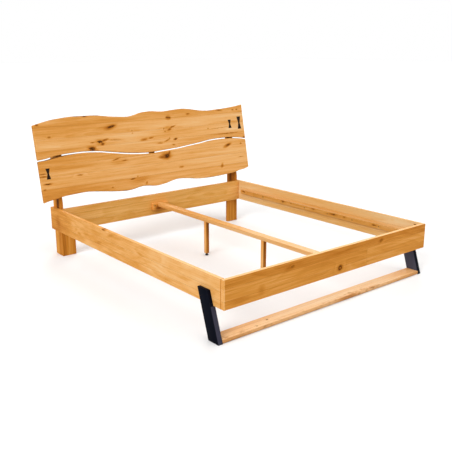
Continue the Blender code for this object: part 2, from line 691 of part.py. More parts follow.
# Crossbar between the legs, waney along its front, let over the legs' tabs
crossbar_half = leg_inner - GAP
crossbar_back = leg_front + CROSSBAR_WIDTH
crossbar_top = leg_low + CROSSBAR_HEIGHT
sections = []
for station in range(CROSSBAR_STATIONS + 1):
    share = 2 * station / CROSSBAR_STATIONS - 1
    wane = CROSSBAR_WANE * smooth_through(CROSSBAR_WANE_SHARES, share)
    across = share * crossbar_half
    sections.append((
        (across, leg_front + wane, crossbar_top), (across, leg_front, crossbar_top - wane),
        (across, leg_front, leg_low), (across, crossbar_back, leg_low), (across, crossbar_back, crossbar_top),
    ))
crossbar = add_part("crossbar", lofted_mesh("crossbar", sections), OILED_WOOD)
recess_mesh = box_mesh(
    "recess", (TAB_LENGTH + GAP + OVERRUN, TAB_WIDTH + 2 * GAP, STEEL_WALL + GAP + OVERRUN))
recess_across = leg_inner - (TAB_LENGTH + GAP - OVERRUN) / 2
recess_middle = leg_low + (STEEL_WALL + GAP - OVERRUN) / 2
cut(crossbar, "tab_recesses", [
    (recess_mesh, Matrix.Translation((sign * recess_across, leg_middle, recess_middle)))
    for sign in SIDES.values()])

# Steel angles in the foot corners
for side, sign in SIDES.items():
    outline = [
        (-sign * across, along) for across, along in (
            (0, 0), (ANGLE_LEAF, 0), (ANGLE_LEAF, ANGLE_STEEL), (ANGLE_STEEL, ANGLE_STEEL),
            (ANGLE_STEEL, ANGLE_LEAF), (0, ANGLE_LEAF))]
    corner = (sign * UPRIGHT_OUTER, FOOT_INNER + GAP, UNDER_CLEARANCE + ANGLE_HEIGHT / 2)
    add_part("corner_angle_" + side, outline_mesh("corner_angle", outline, ANGLE_HEIGHT), ZINC_PLATE, corner)

# Bolts from the uprights into the side rails, and from the leg boards into the head rail
board_bolt = bolt_and_hole("board_bolt", BOARD + BOLT_BITE)
side_bolt_along = LEG_BACK - (LEG_DEPTH - BOARD) / 2
head_bolt_across = (LEG_INNER + UPRIGHT_INNER) / 2
for side, sign in SIDES.items():
    for level, share in BOLT_LEVEL_SHARES.items():
        height = UNDER_CLEARANCE + RAIL_HEIGHT * share
        fasten(
            f"side_rail_bolt_{side}_{level}", board_bolt,
            pointing((sign * UPRIGHT_INNER, side_bolt_along, height), (-sign, 0, 0)),
            ("upright_" + side, "side_rail_" + side))
        fasten(
            f"head_rail_bolt_{side}_{level}", board_bolt,
            pointing((sign * head_bolt_across, LEG_FRONT + BOARD, height), (0, 1, 0)),
            ("leg_board_" + side, "head_rail"))

# Bolts through the uprights into the outer battens' edges carry the headboard
for side, sign in SIDES.items():
    for level, share in HEADBOARD_BOLT_SHARES.items():
        rise = BATTEN_START + (BATTEN_END - BATTEN_START) * share
        seat = LEANING @ Vector((sign * UPRIGHT_OUTER, batten_front + BATTEN_THICKNESS / 2, rise))
        fasten(
            f"headboard_bolt_{side}_{level}", board_bolt, pointing(seat, (sign, 0, 0)),
            ("upright_" + side, "batten_" + side))

# Bolts through the side rails into the nuts inside the steel legs
leg_bolt = bolt_and_hole("leg_bolt", BOARD + GAP + STEEL_WALL + NUT_HEIGHT, OVERRUN)
for side, sign in SIDES.items():
    for row, along in leg_bolt_rows.items():
        fasten(
            f"foot_leg_bolt_{side}_{row}", leg_bolt,
            pointing((sign * INNER_HALF, along, leg_bolt_height), (-sign, 0, 0)),
            ("side_rail_" + side, "foot_leg_" + side))

# Short bolts through the corner angles, into the side rails and the foot board
corner_bolt = bolt_and_hole("corner_bolt", CORNER_BOLT_LENGTH)
bolt_reach = ANGLE_LEAF * CORNER_BOLT_SHARE
for side, sign in SIDES.items():
    heights = [UNDER_CLEARANCE + ANGLE_HEIGHT * share for share in BOLT_LEVEL_SHARES.values()]
    rail_seat = (sign * (UPRIGHT_OUTER - ANGLE_STEEL), FOOT_INNER + bolt_reach, heights[0])
    board_seat = (sign * (UPRIGHT_OUTER - bolt_reach), FOOT_INNER + GAP + ANGLE_STEEL, heights[1])
    fasten(
        "corner_bolt_rail_" + side, corner_bolt, pointing(rail_seat, (-sign, 0, 0)),
        ("corner_angle_" + side, "side_rail_" + side))
    fasten(
        "corner_bolt_board_" + side, corner_bolt, pointing(board_seat, (0, 1, 0)),
        ("corner_angle_" + side, "foot_board"))

# Countersunk screws: up through the tabs into the crossbar, and down through the beam
tab_screw = screw_and_hole("tab_screw", TAB_SCREW_LENGTH)
for side, sign in SIDES.items():
    seat = (sign * (leg_inner - TAB_LENGTH / 2), leg_middle, leg_low)
    fasten(
        "crossbar_screw_" + side, tab_screw, pointing(seat, (0, 0, -1)), ("foot_leg_" + side, "crossbar"))
beam_screw = screw_and_hole("beam_screw", BEAM_HEIGHT + SCREW_BITE)
for end, middle in bracket_middles.items():
    fasten(
        "beam_screw_" + end, beam_screw, pointing((0, middle, LEDGE_TOP), (0, 0, 1)),
        ("center_beam", "beam_bracket_" + end))

# Cut every noted hole and pocket
for name, pieces in HOLES.items():
    cut(bpy.data.objects[name], "holes_" + name, pieces)
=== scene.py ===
import math
import random

import bmesh
import bpy
from mathutils import Matrix, Vector, noise


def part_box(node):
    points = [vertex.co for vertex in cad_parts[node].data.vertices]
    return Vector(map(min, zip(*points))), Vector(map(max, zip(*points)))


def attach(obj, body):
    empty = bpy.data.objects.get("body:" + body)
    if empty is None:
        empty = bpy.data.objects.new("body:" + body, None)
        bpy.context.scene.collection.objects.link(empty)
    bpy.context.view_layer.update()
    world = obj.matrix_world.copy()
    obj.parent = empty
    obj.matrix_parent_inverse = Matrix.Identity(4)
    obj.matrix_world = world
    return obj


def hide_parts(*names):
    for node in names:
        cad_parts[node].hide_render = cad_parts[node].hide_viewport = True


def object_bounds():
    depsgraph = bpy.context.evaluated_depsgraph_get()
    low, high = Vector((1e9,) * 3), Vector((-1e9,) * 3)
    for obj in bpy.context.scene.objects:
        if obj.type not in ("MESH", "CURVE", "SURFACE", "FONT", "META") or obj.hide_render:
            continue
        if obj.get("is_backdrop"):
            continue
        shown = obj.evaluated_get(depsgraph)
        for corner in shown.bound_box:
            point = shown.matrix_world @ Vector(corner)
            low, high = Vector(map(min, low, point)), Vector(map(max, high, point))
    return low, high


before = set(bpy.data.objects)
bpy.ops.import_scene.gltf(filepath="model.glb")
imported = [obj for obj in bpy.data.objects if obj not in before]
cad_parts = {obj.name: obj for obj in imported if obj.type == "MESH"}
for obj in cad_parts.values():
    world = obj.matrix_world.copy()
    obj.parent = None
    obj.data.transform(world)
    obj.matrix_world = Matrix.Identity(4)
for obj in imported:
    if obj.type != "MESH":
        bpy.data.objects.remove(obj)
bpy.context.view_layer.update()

# Side rails, foot board and head rail
# Four boards of oiled hardwood round the mattress, each glued up edge to edge from a few lamellas.
# They are sawn, sanded and oiled: the grain runs along each board and its ends show end grain.
WOOD_TONES = (
    (0.00, (0.100, 0.030, 0.004)), (0.26, (0.535, 0.182, 0.022)), (0.50, (0.755, 0.326, 0.062)),
    (0.68, (0.895, 0.470, 0.158)), (1.00, (0.975, 0.685, 0.376)))
KNOT_TONES = ((0.340, 0.125, 0.015), (0.060, 0.020, 0.003))
SOFT_KNOT_TONES = ((0.440, 0.170, 0.026), (0.170, 0.055, 0.009))
GLUE_TONE = (0.300, 0.100, 0.018)
GLUE_HALF_WIDTH = 0.0005
BUTT_HALF_WIDTH = 0.0006
RING_WIDTH = 0.0036
BAND_WIDTH = 0.021
RING_SWAY = 0.036
NEW_STICK_SHIFT = (3.3, 0.03, 0.02)
SPOT_MERGE = 0.35
OILED_SHINE = 0.03


class Shade:
    """A value, colour, vector or mesh in a tree of nodes; sums and products of values add Math nodes."""

    def __init__(self, tree, socket=None):
        self.tree = tree
        self.socket = socket

    def node(self, kind, settings=None, values=(), output=0):
        """Add a node: its settings first, ramp stops among them, then its sockets' values or links."""
        made = self.tree.nodes.new(kind)
        for setting, value in (settings or {}).items():
            if setting == "stops":
                ramp = made.color_ramp
                ramp.elements.remove(ramp.elements[1])
                ramp.elements[0].position = value[0][0]
                ramp.elements[0].color = (*value[0][1], 1)
                for position, colour in value[1:]:
                    ramp.elements.new(position).color = (*colour, 1)
            else:
                setattr(made, setting, value)
        for key, value in values.items() if isinstance(values, dict) else enumerate(values):
            socket = made.inputs[key]
            if isinstance(value, Shade):
                self.tree.links.new(value.socket, socket)
            elif socket.type == "RGBA" and len(value) == 3:
                socket.default_value = (*value, 1)
            else:
                socket.default_value = value
        return Shade(self.tree, made.outputs[output])

    def maths(self, operation, *others):
        return self.node("ShaderNodeMath", {"operation": operation}, (self, *others))

    def vectors(self, operation, *others, output=0):
        return self.node("ShaderNodeVectorMath", {"operation": operation}, (self, *others), output)

    def step(self, low, high):
        """0 below low, 1 above high and a smooth rise between; low may be the larger."""
        return self.node("ShaderNodeMapRange", {"interpolation_type": "SMOOTHSTEP"}, {
            "Value": self, "From Min": low, "From Max": high})

    def mixed(self, first, second):
        """A colour between two, by this share."""
        return self.node("ShaderNodeMix", {"data_type": "RGBA"}, {0: self, 6: first, 7: second}, output=2)

    def part(self, axis):
        return self.node("ShaderNodeSeparateXYZ", None, (self,), axis)

    def blotches(self, scales, detail=2, output="Fac"):
        """Noise over this vector, with its own scale along each axis."""
        stretched = self.vectors("MULTIPLY", scales)
        return self.node("ShaderNodeTexNoise", None, {
            "Vector": stretched, "Scale": 1, "Detail": detail, "Roughness": 0.5}, output)

    def into(self, node, socket):
        self.tree.links.new(self.socket, node.inputs[socket])

    def __add__(self, other):
        return self.maths("ADD", other)

    def __mul__(self, other):
        return self.maths("MULTIPLY", other)

    def __sub__(self, other):
        return self.maths("SUBTRACT", other)

    def __rsub__(self, other):
        return self.node("ShaderNodeMath", {"operation": "SUBTRACT"}, (other, self))

    def __rtruediv__(self, other):
        return self.node("ShaderNodeMath", {"operation": "DIVIDE"}, (other, self))

    __radd__ = __add__
    __rmul__ = __mul__


def nearest_spot(place, spots):
    """Distance to the nearest of some oval, tilted spots, in units of the spot's own radius."""
    nearest = None
    for along, over, radius, stretch, tilt in spots:
        turn = math.radians(tilt)
        long_radius = radius * stretch
        offset = place.vectors("SUBTRACT", (along, over, 0))
        length = offset.vectors(
            "DOT_PRODUCT", (math.cos(turn) / long_radius, math.sin(turn) / long_radius, 0), output=1)
        width = offset.vectors(
            "DOT_PRODUCT", (-math.sin(turn) / radius, math.cos(turn) / radius, 0), output=1)
        distance = (length * length).maths("ADD", width * width).maths("SQRT")
        nearest = nearest.maths("SMOOTH_MIN", distance, SPOT_MERGE) if nearest else distance
    return nearest


def oiled_wood(name, grain, across, origin=(0, 0, 0), seed=1, tone=0.62, lamellas_and_painted_light=((-9, 0),), breaks=(),
               fades=(), knots=(), knot_tones=KNOT_TONES, stains_and_painted_shadows=(), tints_and_painted_shadows=(), bark=None, figure=1, curl=1,
               oil=(0.5, 1, 1)):
    """Solid wood with lamellas, rings round a heart, fibres, pores, knots and end grain.

    A lamella is its lower edge and how much lighter it is; the lowest one's edge isn't read. A break
    is a new stick in a lamella: low, high, where it begins, how much lighter. A fade is from where to
    where along the grain, and how much lighter it gets. A knot is a spot: along, over, radius, stretch
    and tilt in degrees, and so are the stained and tinted spots. Bark is two tones for the piece's
    layer "wane". Some lamella edges, fades and spots paint light and shade rather than the wood's tone;
    the places where they are given say so.
    """
    material = bpy.data.materials.new(name)
    material.use_nodes = True
    skin = material.node_tree.nodes["Principled BSDF"]
    start = Shade(material.node_tree)
    chance = random.Random(seed)
    turn = Matrix((grain, across, Vector(grain).cross(Vector(across))))
    place = start.node("ShaderNodeMapping", None, {
        "Vector": start.node("ShaderNodeTexCoord", output="Object"),
        "Location": -(turn @ Vector(origin)), "Rotation": turn.to_euler()})
    along, over = place.part(0), place.part(1)

    def new_heart(middle):
        return Vector((
            chance.uniform(-9, 9), middle + chance.uniform(-0.07, 0.07), chance.uniform(0.05, 0.13)))

    last_lift = lamellas_and_painted_light[0][1]
    last_heart = new_heart(lamellas_and_painted_light[1][0] if lamellas_and_painted_light[1:] else 0)
    heart, shade, glue = tuple(last_heart), tone + last_lift, None
    for edge, lift in lamellas_and_painted_light[1:]:
        beyond = over.maths("GREATER_THAN", edge)
        next_heart = new_heart(edge + 0.04)
        heart = beyond.vectors("MULTIPLY_ADD", tuple(next_heart - last_heart), heart)
        shade = beyond * (lift - last_lift) + shade
        line = (over - edge).maths("ABSOLUTE").maths("LESS_THAN", GLUE_HALF_WIDTH)
        glue = glue.maths("MAXIMUM", line) if glue else line
        last_heart, last_lift = next_heart, lift
    for low, high, begin, lift in breaks:
        inside = (along.maths("GREATER_THAN", begin) * over.maths("GREATER_THAN", low)
                  * over.maths("LESS_THAN", high))
        heart = inside.vectors("MULTIPLY_ADD", NEW_STICK_SHIFT, heart)
        shade = inside * lift + shade
        line = ((along - begin).maths("ABSOLUTE").maths("LESS_THAN", BUTT_HALF_WIDTH)
                * over.maths("GREATER_THAN", low) * over.maths("LESS_THAN", high))
        glue = glue.maths("MAXIMUM", line) if glue else line

    for begin, finish, lift in fades:
        shade = along.step(begin, finish) * lift + shade

    spot = place.vectors("SUBTRACT", heart)
    ragged = place.blotches((55, 150, 150), 3, "Color")
    rough_place = ragged.vectors("MULTIPLY_ADD", (0.014, 0.009, 0.009), place).vectors(
        "SUBTRACT", (0.007, 0.0045, 0.0045))
    wander = spot.blotches((1.3, 5, 5), 1.5, "Color")
    rings_place = wander.vectors(
        "MULTIPLY_ADD", (0, RING_SWAY, RING_SWAY), spot.vectors("MULTIPLY", (0, 1, 1)))
    radius = rings_place.vectors("LENGTH", output=1)
    knot = nearest_spot(rough_place, knots)
    stain_and_painted_shadow = nearest_spot(rough_place, stains_and_painted_shadows)
    tint_and_painted_shadow = nearest_spot(rough_place, tints_and_painted_shadows)
    for near in (knot, stain_and_painted_shadow):
        if near:
            swell = 1 / (near * near * 0.25 + 1)
            radius = swell * swell * 0.016 + radius
    rings = (radius * (1 / RING_WIDTH)).maths("FRACT")
    late = rings * rings * ((1 - rings) * 6).maths("MINIMUM", 1)
    bands = (radius * (math.tau / BAND_WIDTH)).maths("SINE")
    drift = spot.blotches((0.9 * curl, 11, 11), 2)
    streak = spot.blotches((2.4 * curl, 52, 52), 3)
    fibre = spot.blotches((4, 230, 230), 4)
    pores = spot.blotches((20, 1300, 1300), 0).step(0.62, 0.74)
    normal = start.node("ShaderNodeNewGeometry", output="Normal")
    end = normal.vectors("DOT_PRODUCT", grain, output=1).maths("ABSOLUTE").step(0.55, 0.9)
    value = (((drift - 0.5) * 0.62 + (streak - 0.5) * 0.26 + bands * (drift * 0.06)) * figure
             + (fibre - 0.5) * 0.40 - late * (drift * 0.16 + 0.02) - pores * 0.08 - end * 0.05 + shade)
    height = fibre * 0.5 - late * 0.15 - pores * 0.5
    polish = fibre * 0.14 + pores * 0.15 + end * 0.2 + 0.36
    if stain_and_painted_shadow:
        value = value - stain_and_painted_shadow.step(1.9, 0.2) * (fibre * 0.50 + 0.16)
    if tint_and_painted_shadow:
        value = value - tint_and_painted_shadow.step(2.0, 0.1) * 0.13
    if knot:
        clouds = place.blotches((60, 120, 120), 3)
        value = value - knot.step(3.2, 0.9) * (clouds * 0.34)
    colour = value.node("ShaderNodeValToRGB", {"stops": WOOD_TONES}, (value,))
    if glue:
        colour = (glue * 0.6).mixed(colour, GLUE_TONE)
        height = height - glue * 0.6
    if knot:
        core = ((clouds - 0.5) * 1.7 + knot).step(1.20, 0.80)
        veins = (knot * 16).maths("SINE") * 0.15 + 0.15
        colour = core.mixed(colour, (clouds.step(0.62, 0.46) * 0.8 + veins).mixed(*knot_tones))
        height = height - core * 0.8
        polish = polish + core * 0.1
    if bark:
        wane = start.node("ShaderNodeAttribute", {"attribute_name": "wane"}, output="Fac")
        patches = place.blotches((26, 60, 60), 3)
        crust = ((patches - 0.5) * 1.3 + wane).step(0.38, 0.78)
        ridges = place.blotches((30, 420, 420), 3)
        colour = crust.mixed(colour, ridges.step(0.35, 0.62).mixed(*bark))
        height = height + crust * ridges * 2.5
        polish = polish + crust * 0.25
    hue, saturation, brightness = oil
    colour = start.node("ShaderNodeHueSaturation", None, {
        "Hue": hue, "Saturation": saturation, "Value": brightness, "Color": colour})
    colour.into(skin, "Base Color")
    polish.into(skin, "Roughness")
    height.node("ShaderNodeBump", None, {
        "Strength": 0.4, "Distance": 0.0007, "Height": height}).into(skin, "Normal")
    skin.inputs["Specular IOR Level"].default_value = OILED_SHINE
    return material


def finish_node(node, material):
    """Give a CAD node its own finish."""
    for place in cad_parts[node].material_slots:
        place.material = material


X, Y, Z = (1, 0, 0), (0, 1, 0), (0, 0, 1)
RAIL_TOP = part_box("side_rail_left")[1].z
# Above this line each board gets one more lamella that covers only its top face: painted sheen on the left
# rail's and the foot board's tops, painted shade on the right rail's and the head rail's.
UPPER_ARRIS = RAIL_TOP - 0.0008
# The left rail's last fade darkens its foot end where it meets the foot board: a dark joint, and painted
# shade of the gap.
finish_node("side_rail_left", oiled_wood(
    "side_rail_left_wood", Y, Z, seed=3, tone=0.71,
    lamellas_and_painted_light=((-9, -0.03), (0.262, -0.02), (0.318, 0.02), (UPPER_ARRIS, 0.08)),
    fades=((-0.50, 0.15, -0.10), (0.62, 0.98, -0.20), (-1.067, -1.073, -0.34)),
    knots=((0.240, 0.386, 0.0030, 2.4, 0),), knot_tones=SOFT_KNOT_TONES,
    stains_and_painted_shadows=((0.225, 0.384, 0.0060, 4.0, 0),),
    tints_and_painted_shadows=((0.130, 0.366, 0.0080, 8.0, -20), (0.655, 0.291, 0.0100, 2.0, 0),
           (0.608, 0.278, 0.0080, 3.0, 10), (0.300, 0.275, 0.0090, 3.0, -10),
           (0.960, 0.300, 0.0300, 1.5, 90), (-0.245, 0.325, 0.0080, 4.0, 8),
           (-0.560, 0.240, 0.0060, 6.0, 0)), figure=0.65, curl=6))
finish_node("side_rail_right", oiled_wood(
    "side_rail_right_wood", Y, Z, seed=8, tone=0.73,
    lamellas_and_painted_light=((-9, -0.02), (0.250, 0.0), (0.330, 0.02), (UPPER_ARRIS, -0.14)),
    fades=((0.20, 0.75, 0.10), (-0.50, -0.95, 0.16)), knots=((-1.031, 0.372, 0.004, 2.0, 0),),
    tints_and_painted_shadows=((-0.835, 0.366, 0.005, 3.0, 0),), figure=0.7, oil=(0.505, 1, 0.83)))
finish_node("foot_board", oiled_wood(
    "foot_board_wood", X, Z, seed=14, tone=0.51,
    lamellas_and_painted_light=((-9, 0.02), (0.262, 0.02), (0.334, -0.07), (UPPER_ARRIS, 0.22)),
    breaks=((-9, 0.334, 0.285, 0.03),),
    knots=((-0.405, 0.357, 0.0032, 1.8, 12), (0.022, 0.253, 0.0080, 1.0, 0), (0.428, 0.359, 0.0040, 1.6, 14)),
    knot_tones=((0.620, 0.245, 0.032), (0.380, 0.122, 0.008)),
    stains_and_painted_shadows=((0.022, 0.255, 0.018, 1.2, 0),),
    tints_and_painted_shadows=((-0.820, 0.245, 0.014, 4.0, 0), (-0.655, 0.270, 0.020, 1.2, 90), (0.262, 0.240, 0.008, 4.0, 0),
           (-0.425, 0.353, 0.013, 2.6, 10), (0.425, 0.358, 0.012, 2.0, 14)),
    fades=((0.55, 0.90, -0.06), (-0.925, -0.928, 0.24)), figure=0.8, oil=(0.499, 1.012, 1.01)))
# The head rail's tinted spot under the beam's bracket is painted shadow.
finish_node("head_rail", oiled_wood(
    "head_rail_wood", X, Z, seed=21, tone=0.54,
    lamellas_and_painted_light=((-9, 0.0), (0.275, 0.01), (0.342, 0.04), (UPPER_ARRIS, -0.18)),
    fades=((0.35, 0.85, 0.05),), tints_and_painted_shadows=((0, 0.240, 0.022, 3.0, 0),), figure=0.6, oil=(0.507, 0.98, 1.02)))

# Head legs
# Each is an L of two boards: a tall upright inside the side rail and a short board behind the head
# rail. The upright's front edge turns back at its shoulder to carry the leaning headboard.
# Each upright's dark stained spot above the rail, just behind its front edge, is painted shadow of the
# planks.
for side, seed in (("left", 31), ("right", 37)):
    finish_node("upright_" + side, oiled_wood(
        f"upright_{side}_wood", Z, Y, seed=seed, tone=0.45, lamellas_and_painted_light=((-9, 0.0), (1.020, 0.03)),
        fades=((0.23, 0.20, -0.10), (0.37, 0.41, 0.07)), stains_and_painted_shadows=((0.450, 1.012, 0.043, 2.2, 0),),
        oil=(0.5, 1.01, 1)))
    finish_node("leg_board_" + side, oiled_wood(
        f"leg_board_{side}_wood", Z, X, seed=seed + 1, tone=0.39, oil=(0.5, 1.015, 1.04)))

# Headboard planks
# Two live-edge planks lean back on the uprights, glued up from lamellas with the outer ones waney.
# The edges keep the trunk's line and some bark tone; end cracks and knot pits stay open in them.
HEADBOARD_LEAN = math.radians(11.1)
HEADBOARD_HALF = 1.039
HEADBOARD_RISE = 0.713
UPRIGHT_SHOULDER = 0.045
GAP = 0.0003
PLANK = 0.026
SEAM_GAP = 0.0075
PLANK_STATIONS = 340
END_ARRIS = 0.0008
WANE = 0.020
WANE_DEPTH = 0.009
WANE_STEPS = 7
FULL_BARK_WIDTH = 0.009
EDGE_ROUGHNESS = 0.0006
BACK_EDGE = ((0.013, 0.0), (0.017, 0.0004), (0.021, 0.001), (0.0245, 0.0022), (PLANK, 0.0045))
BACK_RETURN = 0.011
BARK = ((0.060, 0.020, 0.006), (0.330, 0.110, 0.020))
CRACK_STEPS = 24
CRACK_DEPTH = 0.016
CRACK_WANDER = 0.0035
OVERCUT = 0.002
OPEN_KNOTS = 3
PIT_SHARE = 0.75
PIT_DEPTH = 0.0032
PIT_FORWARD = 0.0009
POCKET_ROOM = (1.022, 1.5, 1.010, 1)
POCKET_FORWARD = 0.0012
WELD_DISTANCE = 0.00002
FLAT_FACE = 0.9995
UPPER_TOP_SHARES = (
    (-1.000, 0.933), (-0.938, 0.954), (-0.860, 0.976), (-0.780, 0.989), (-0.695, 0.998),
    (-0.610, 0.997), (-0.487, 0.993), (-0.400, 0.977), (-0.315, 0.963), (-0.200, 0.953),
    (-0.140, 0.966), (-0.080, 0.987), (0.016, 0.996), (0.133, 0.984), (0.235, 0.993),
    (0.339, 0.999), (0.421, 0.987), (0.526, 0.962), (0.612, 0.953), (0.691, 0.959),
    (0.807, 0.968), (0.925, 0.984), (1.000, 1.000))
SEAM_SHARES = (
    (-1.000, 0.558), (-0.943, 0.565), (-0.863, 0.585), (-0.781, 0.597), (-0.657, 0.602),
    (-0.573, 0.598), (-0.488, 0.587), (-0.385, 0.563), (-0.224, 0.528), (-0.046, 0.509),
    (0.112, 0.518), (0.267, 0.531), (0.374, 0.546), (0.483, 0.561), (0.595, 0.581),
    (0.709, 0.587), (0.824, 0.584), (0.940, 0.568), (1.000, 0.552))
LOWER_BOTTOM_SHARES = (
    (-1.000, 0.098), (-0.955, 0.112), (-0.898, 0.124), (-0.833, 0.140), (-0.750, 0.147),
    (-0.665, 0.152), (-0.623, 0.150), (-0.538, 0.136), (-0.409, 0.111), (-0.291, 0.097),
    (-0.225, 0.104), (-0.166, 0.119), (-0.100, 0.118), (-0.013, 0.103), (0.083, 0.115),
    (0.151, 0.135), (0.217, 0.146), (0.328, 0.131), (0.401, 0.114), (0.487, 0.105),
    (0.599, 0.104), (0.737, 0.112), (0.832, 0.122), (0.893, 0.139), (0.955, 0.149),
    (1.000, 0.166))
TOP_WANE = ((-1, 0.16), (-0.90, 0.22), (-0.60, 0.30), (0, 0.20), (0.50, 0.30), (1, 0.20))
SEAM_WANE = ((-1, 0.25), (-0.90, 0.45), (-0.78, 0.45), (-0.66, 0.25), (0, 0.20), (1, 0.25))
UNDER_WANE = ((-1, 0.16), (-0.40, 0.30), (0.20, 0.22), (0.60, 0.28), (1, 0.20))
UPPER_LAMELLAS = ((-9, 0.03), (0.462, 0.11), (0.548, 0.05), (0.640, -0.04))
UPPER_KNOTS = (
    (-0.495, 0.493, 0.0100, 2.2, -6), (-0.572, 0.443, 0.0100, 2.3, -16), (0.241, 0.455, 0.0050, 1.8, 18),
    (-0.600, 0.704, 0.0035, 4.0, 0), (0.176, 0.647, 0.0040, 1.2, 0), (0.206, 0.641, 0.0040, 1.2, 0),
    (-0.375, 0.605, 0.0040, 4.5, 14))
UPPER_STAINS = (
    (-1.007, 0.666, 0.0080, 1.4, 0), (-0.923, 0.564, 0.0055, 2.0, 0), (-0.385, 0.603, 0.0150, 3.0, 12),
    (-0.360, 0.610, 0.0080, 3.0, 14), (-0.445, 0.505, 0.0075, 3.2, 12), (-0.475, 0.472, 0.0080, 1.8, 10),
    (-0.350, 0.496, 0.0028, 20.0, -5), (-0.565, 0.492, 0.0050, 3.0, 0), (-0.575, 0.446, 0.0125, 2.2, 0),
    (-0.188, 0.560, 0.0040, 1.2, 0), (-0.185, 0.538, 0.0040, 1.2, 0), (-0.080, 0.476, 0.0085, 3.4, 6),
    (-0.010, 0.484, 0.0060, 3.4, 8), (0.190, 0.642, 0.0150, 1.5, 0), (0.225, 0.562, 0.0050, 5.0, 16),
    (0.190, 0.540, 0.0080, 2.2, 10), (0.132, 0.550, 0.0045, 1.5, 60), (0.140, 0.526, 0.0045, 1.5, 0),
    (0.075, 0.432, 0.0045, 6.0, -4), (0.150, 0.448, 0.0055, 4.5, 16), (0.178, 0.463, 0.0040, 2.0, 60),
    (0.240, 0.452, 0.0075, 2.6, 12), (0.213, 0.405, 0.0045, 2.5, 0), (0.405, 0.662, 0.0055, 2.6, 0),
    (0.610, 0.516, 0.0035, 2.2, 0), (0.760, 0.672, 0.0045, 6.0, 0), (0.925, 0.668, 0.0045, 2.5, 0),
    (0.972, 0.668, 0.0045, 2.0, 0), (0.730, 0.512, 0.0020, 50.0, 2), (0.850, 0.455, 0.0040, 34.0, 0),
    (1.026, 0.404, 0.0080, 1.8, 0))
UPPER_TINTS = ((0.180, 0.550, 0.0260, 1.6, 15), (-0.440, 0.606, 0.0110, 6.0, 8))
LOWER_LAMELLAS = ((-9, 0.00), (0.170, 0.12), (0.262, 0.08), (0.345, -0.01))
LOWER_KNOTS = (
    (0.138, 0.318, 0.0100, 1.3, 40), (-0.990, 0.210, 0.0035, 4.5, 0), (0.825, 0.350, 0.0048, 2.8, 22))
LOWER_STAINS = (
    (-1.020, 0.290, 0.0045, 7.0, 0), (-1.020, 0.271, 0.0060, 6.0, 0), (-0.990, 0.210, 0.0055, 5.0, 0),
    (-0.370, 0.340, 0.0050, 6.0, 14), (-0.290, 0.322, 0.0040, 6.0, 0), (-0.713, 0.250, 0.0045, 5.0, 0),
    (-1.020, 0.171, 0.0050, 2.0, 0), (-0.240, 0.160, 0.0045, 4.5, 4), (-0.192, 0.176, 0.0045, 1.5, 0),
    (0.118, 0.315, 0.0240, 1.7, 0), (0.080, 0.312, 0.0120, 2.5, 0), (0.156, 0.340, 0.0100, 1.6, 50),
    (-0.111, 0.110, 0.0080, 1.5, 60), (-0.439, 0.114, 0.0055, 1.5, 0), (0.265, 0.204, 0.0060, 3.4, 0),
    (0.722, 0.167, 0.0120, 1.5, 60), (0.720, 0.160, 0.0070, 1.5, 0), (0.810, 0.345, 0.0120, 3.4, 20),
    (0.975, 0.348, 0.0055, 1.5, 0), (0.960, 0.224, 0.0030, 10.0, 0))
LOWER_TINTS = (
    (-0.350, 0.318, 0.0240, 2.6, 0), (-0.165, 0.148, 0.0240, 2.8, 6), (0.125, 0.315, 0.0260, 2.0, 0))
CRACKS = {
    "upper": (
        (1.041, 0.5480, 0.800, 0.5560, 0.0016), (1.041, 0.4400, 0.780, 0.4470, 0.0012),
        (1.041, 0.6350, 0.900, 0.6330, 0.0010)),
    "lower": (
        (-1.041, 0.2930, -0.860, 0.2860, 0.0015), (-1.041, 0.3150, -0.930, 0.3120, 0.0010))}
KEYS = {"upper": ("key_upper_right", "key_upper_right_small"), "lower": ("key_lower_left",)}

upright_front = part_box("upright_left")[0].y
plane_forward = (
    UPRIGHT_SHOULDER * math.tan(HEADBOARD_LEAN) + (PLANK + GAP) / math.cos(HEADBOARD_LEAN))
LEANING = (
    Matrix.Translation((0, upright_front - plane_forward, RAIL_TOP))
    @ Matrix.Rotation(-HEADBOARD_LEAN, 4, "X"))
UP_SLOPE = tuple(LEANING.to_3x3() @ Vector(Z))


def smooth_through(points, across):
    """Read a smooth curve through chosen points, with slopes taken from their neighbours."""
    last = len(points) - 1
    index = 0
    while index < last - 1 and across > points[index + 1][0]:
        index += 1
    (near, begin), (far, finish) = points[index], points[index + 1]

    def slope(at):
        before, after = points[max(0, at - 1)], points[min(last, at + 1)]
        return (after[1] - before[1]) / (after[0] - before[0])

    span = far - near
    share = min(1, max(0, (across - near) / span))
    leaving = (1 + 2 * share) * (1 - share) ** 2 * begin + share * (1 - share) ** 2 * span * slope(index)
    arriving = share ** 2 * (3 - 2 * share) * finish + share ** 2 * (share - 1) * span * slope(index + 1)
    return leaving + arriving


def seam(share):
    return HEADBOARD_RISE * smooth_through(SEAM_SHARES, share)


def lower_top(share):
    return seam(share) - SEAM_GAP


def upper_top(share):
    return HEADBOARD_RISE * smooth_through(UPPER_TOP_SHARES, share)


def lower_bottom(share):
    return HEADBOARD_RISE * smooth_through(LOWER_BOTTOM_SHARES, share)


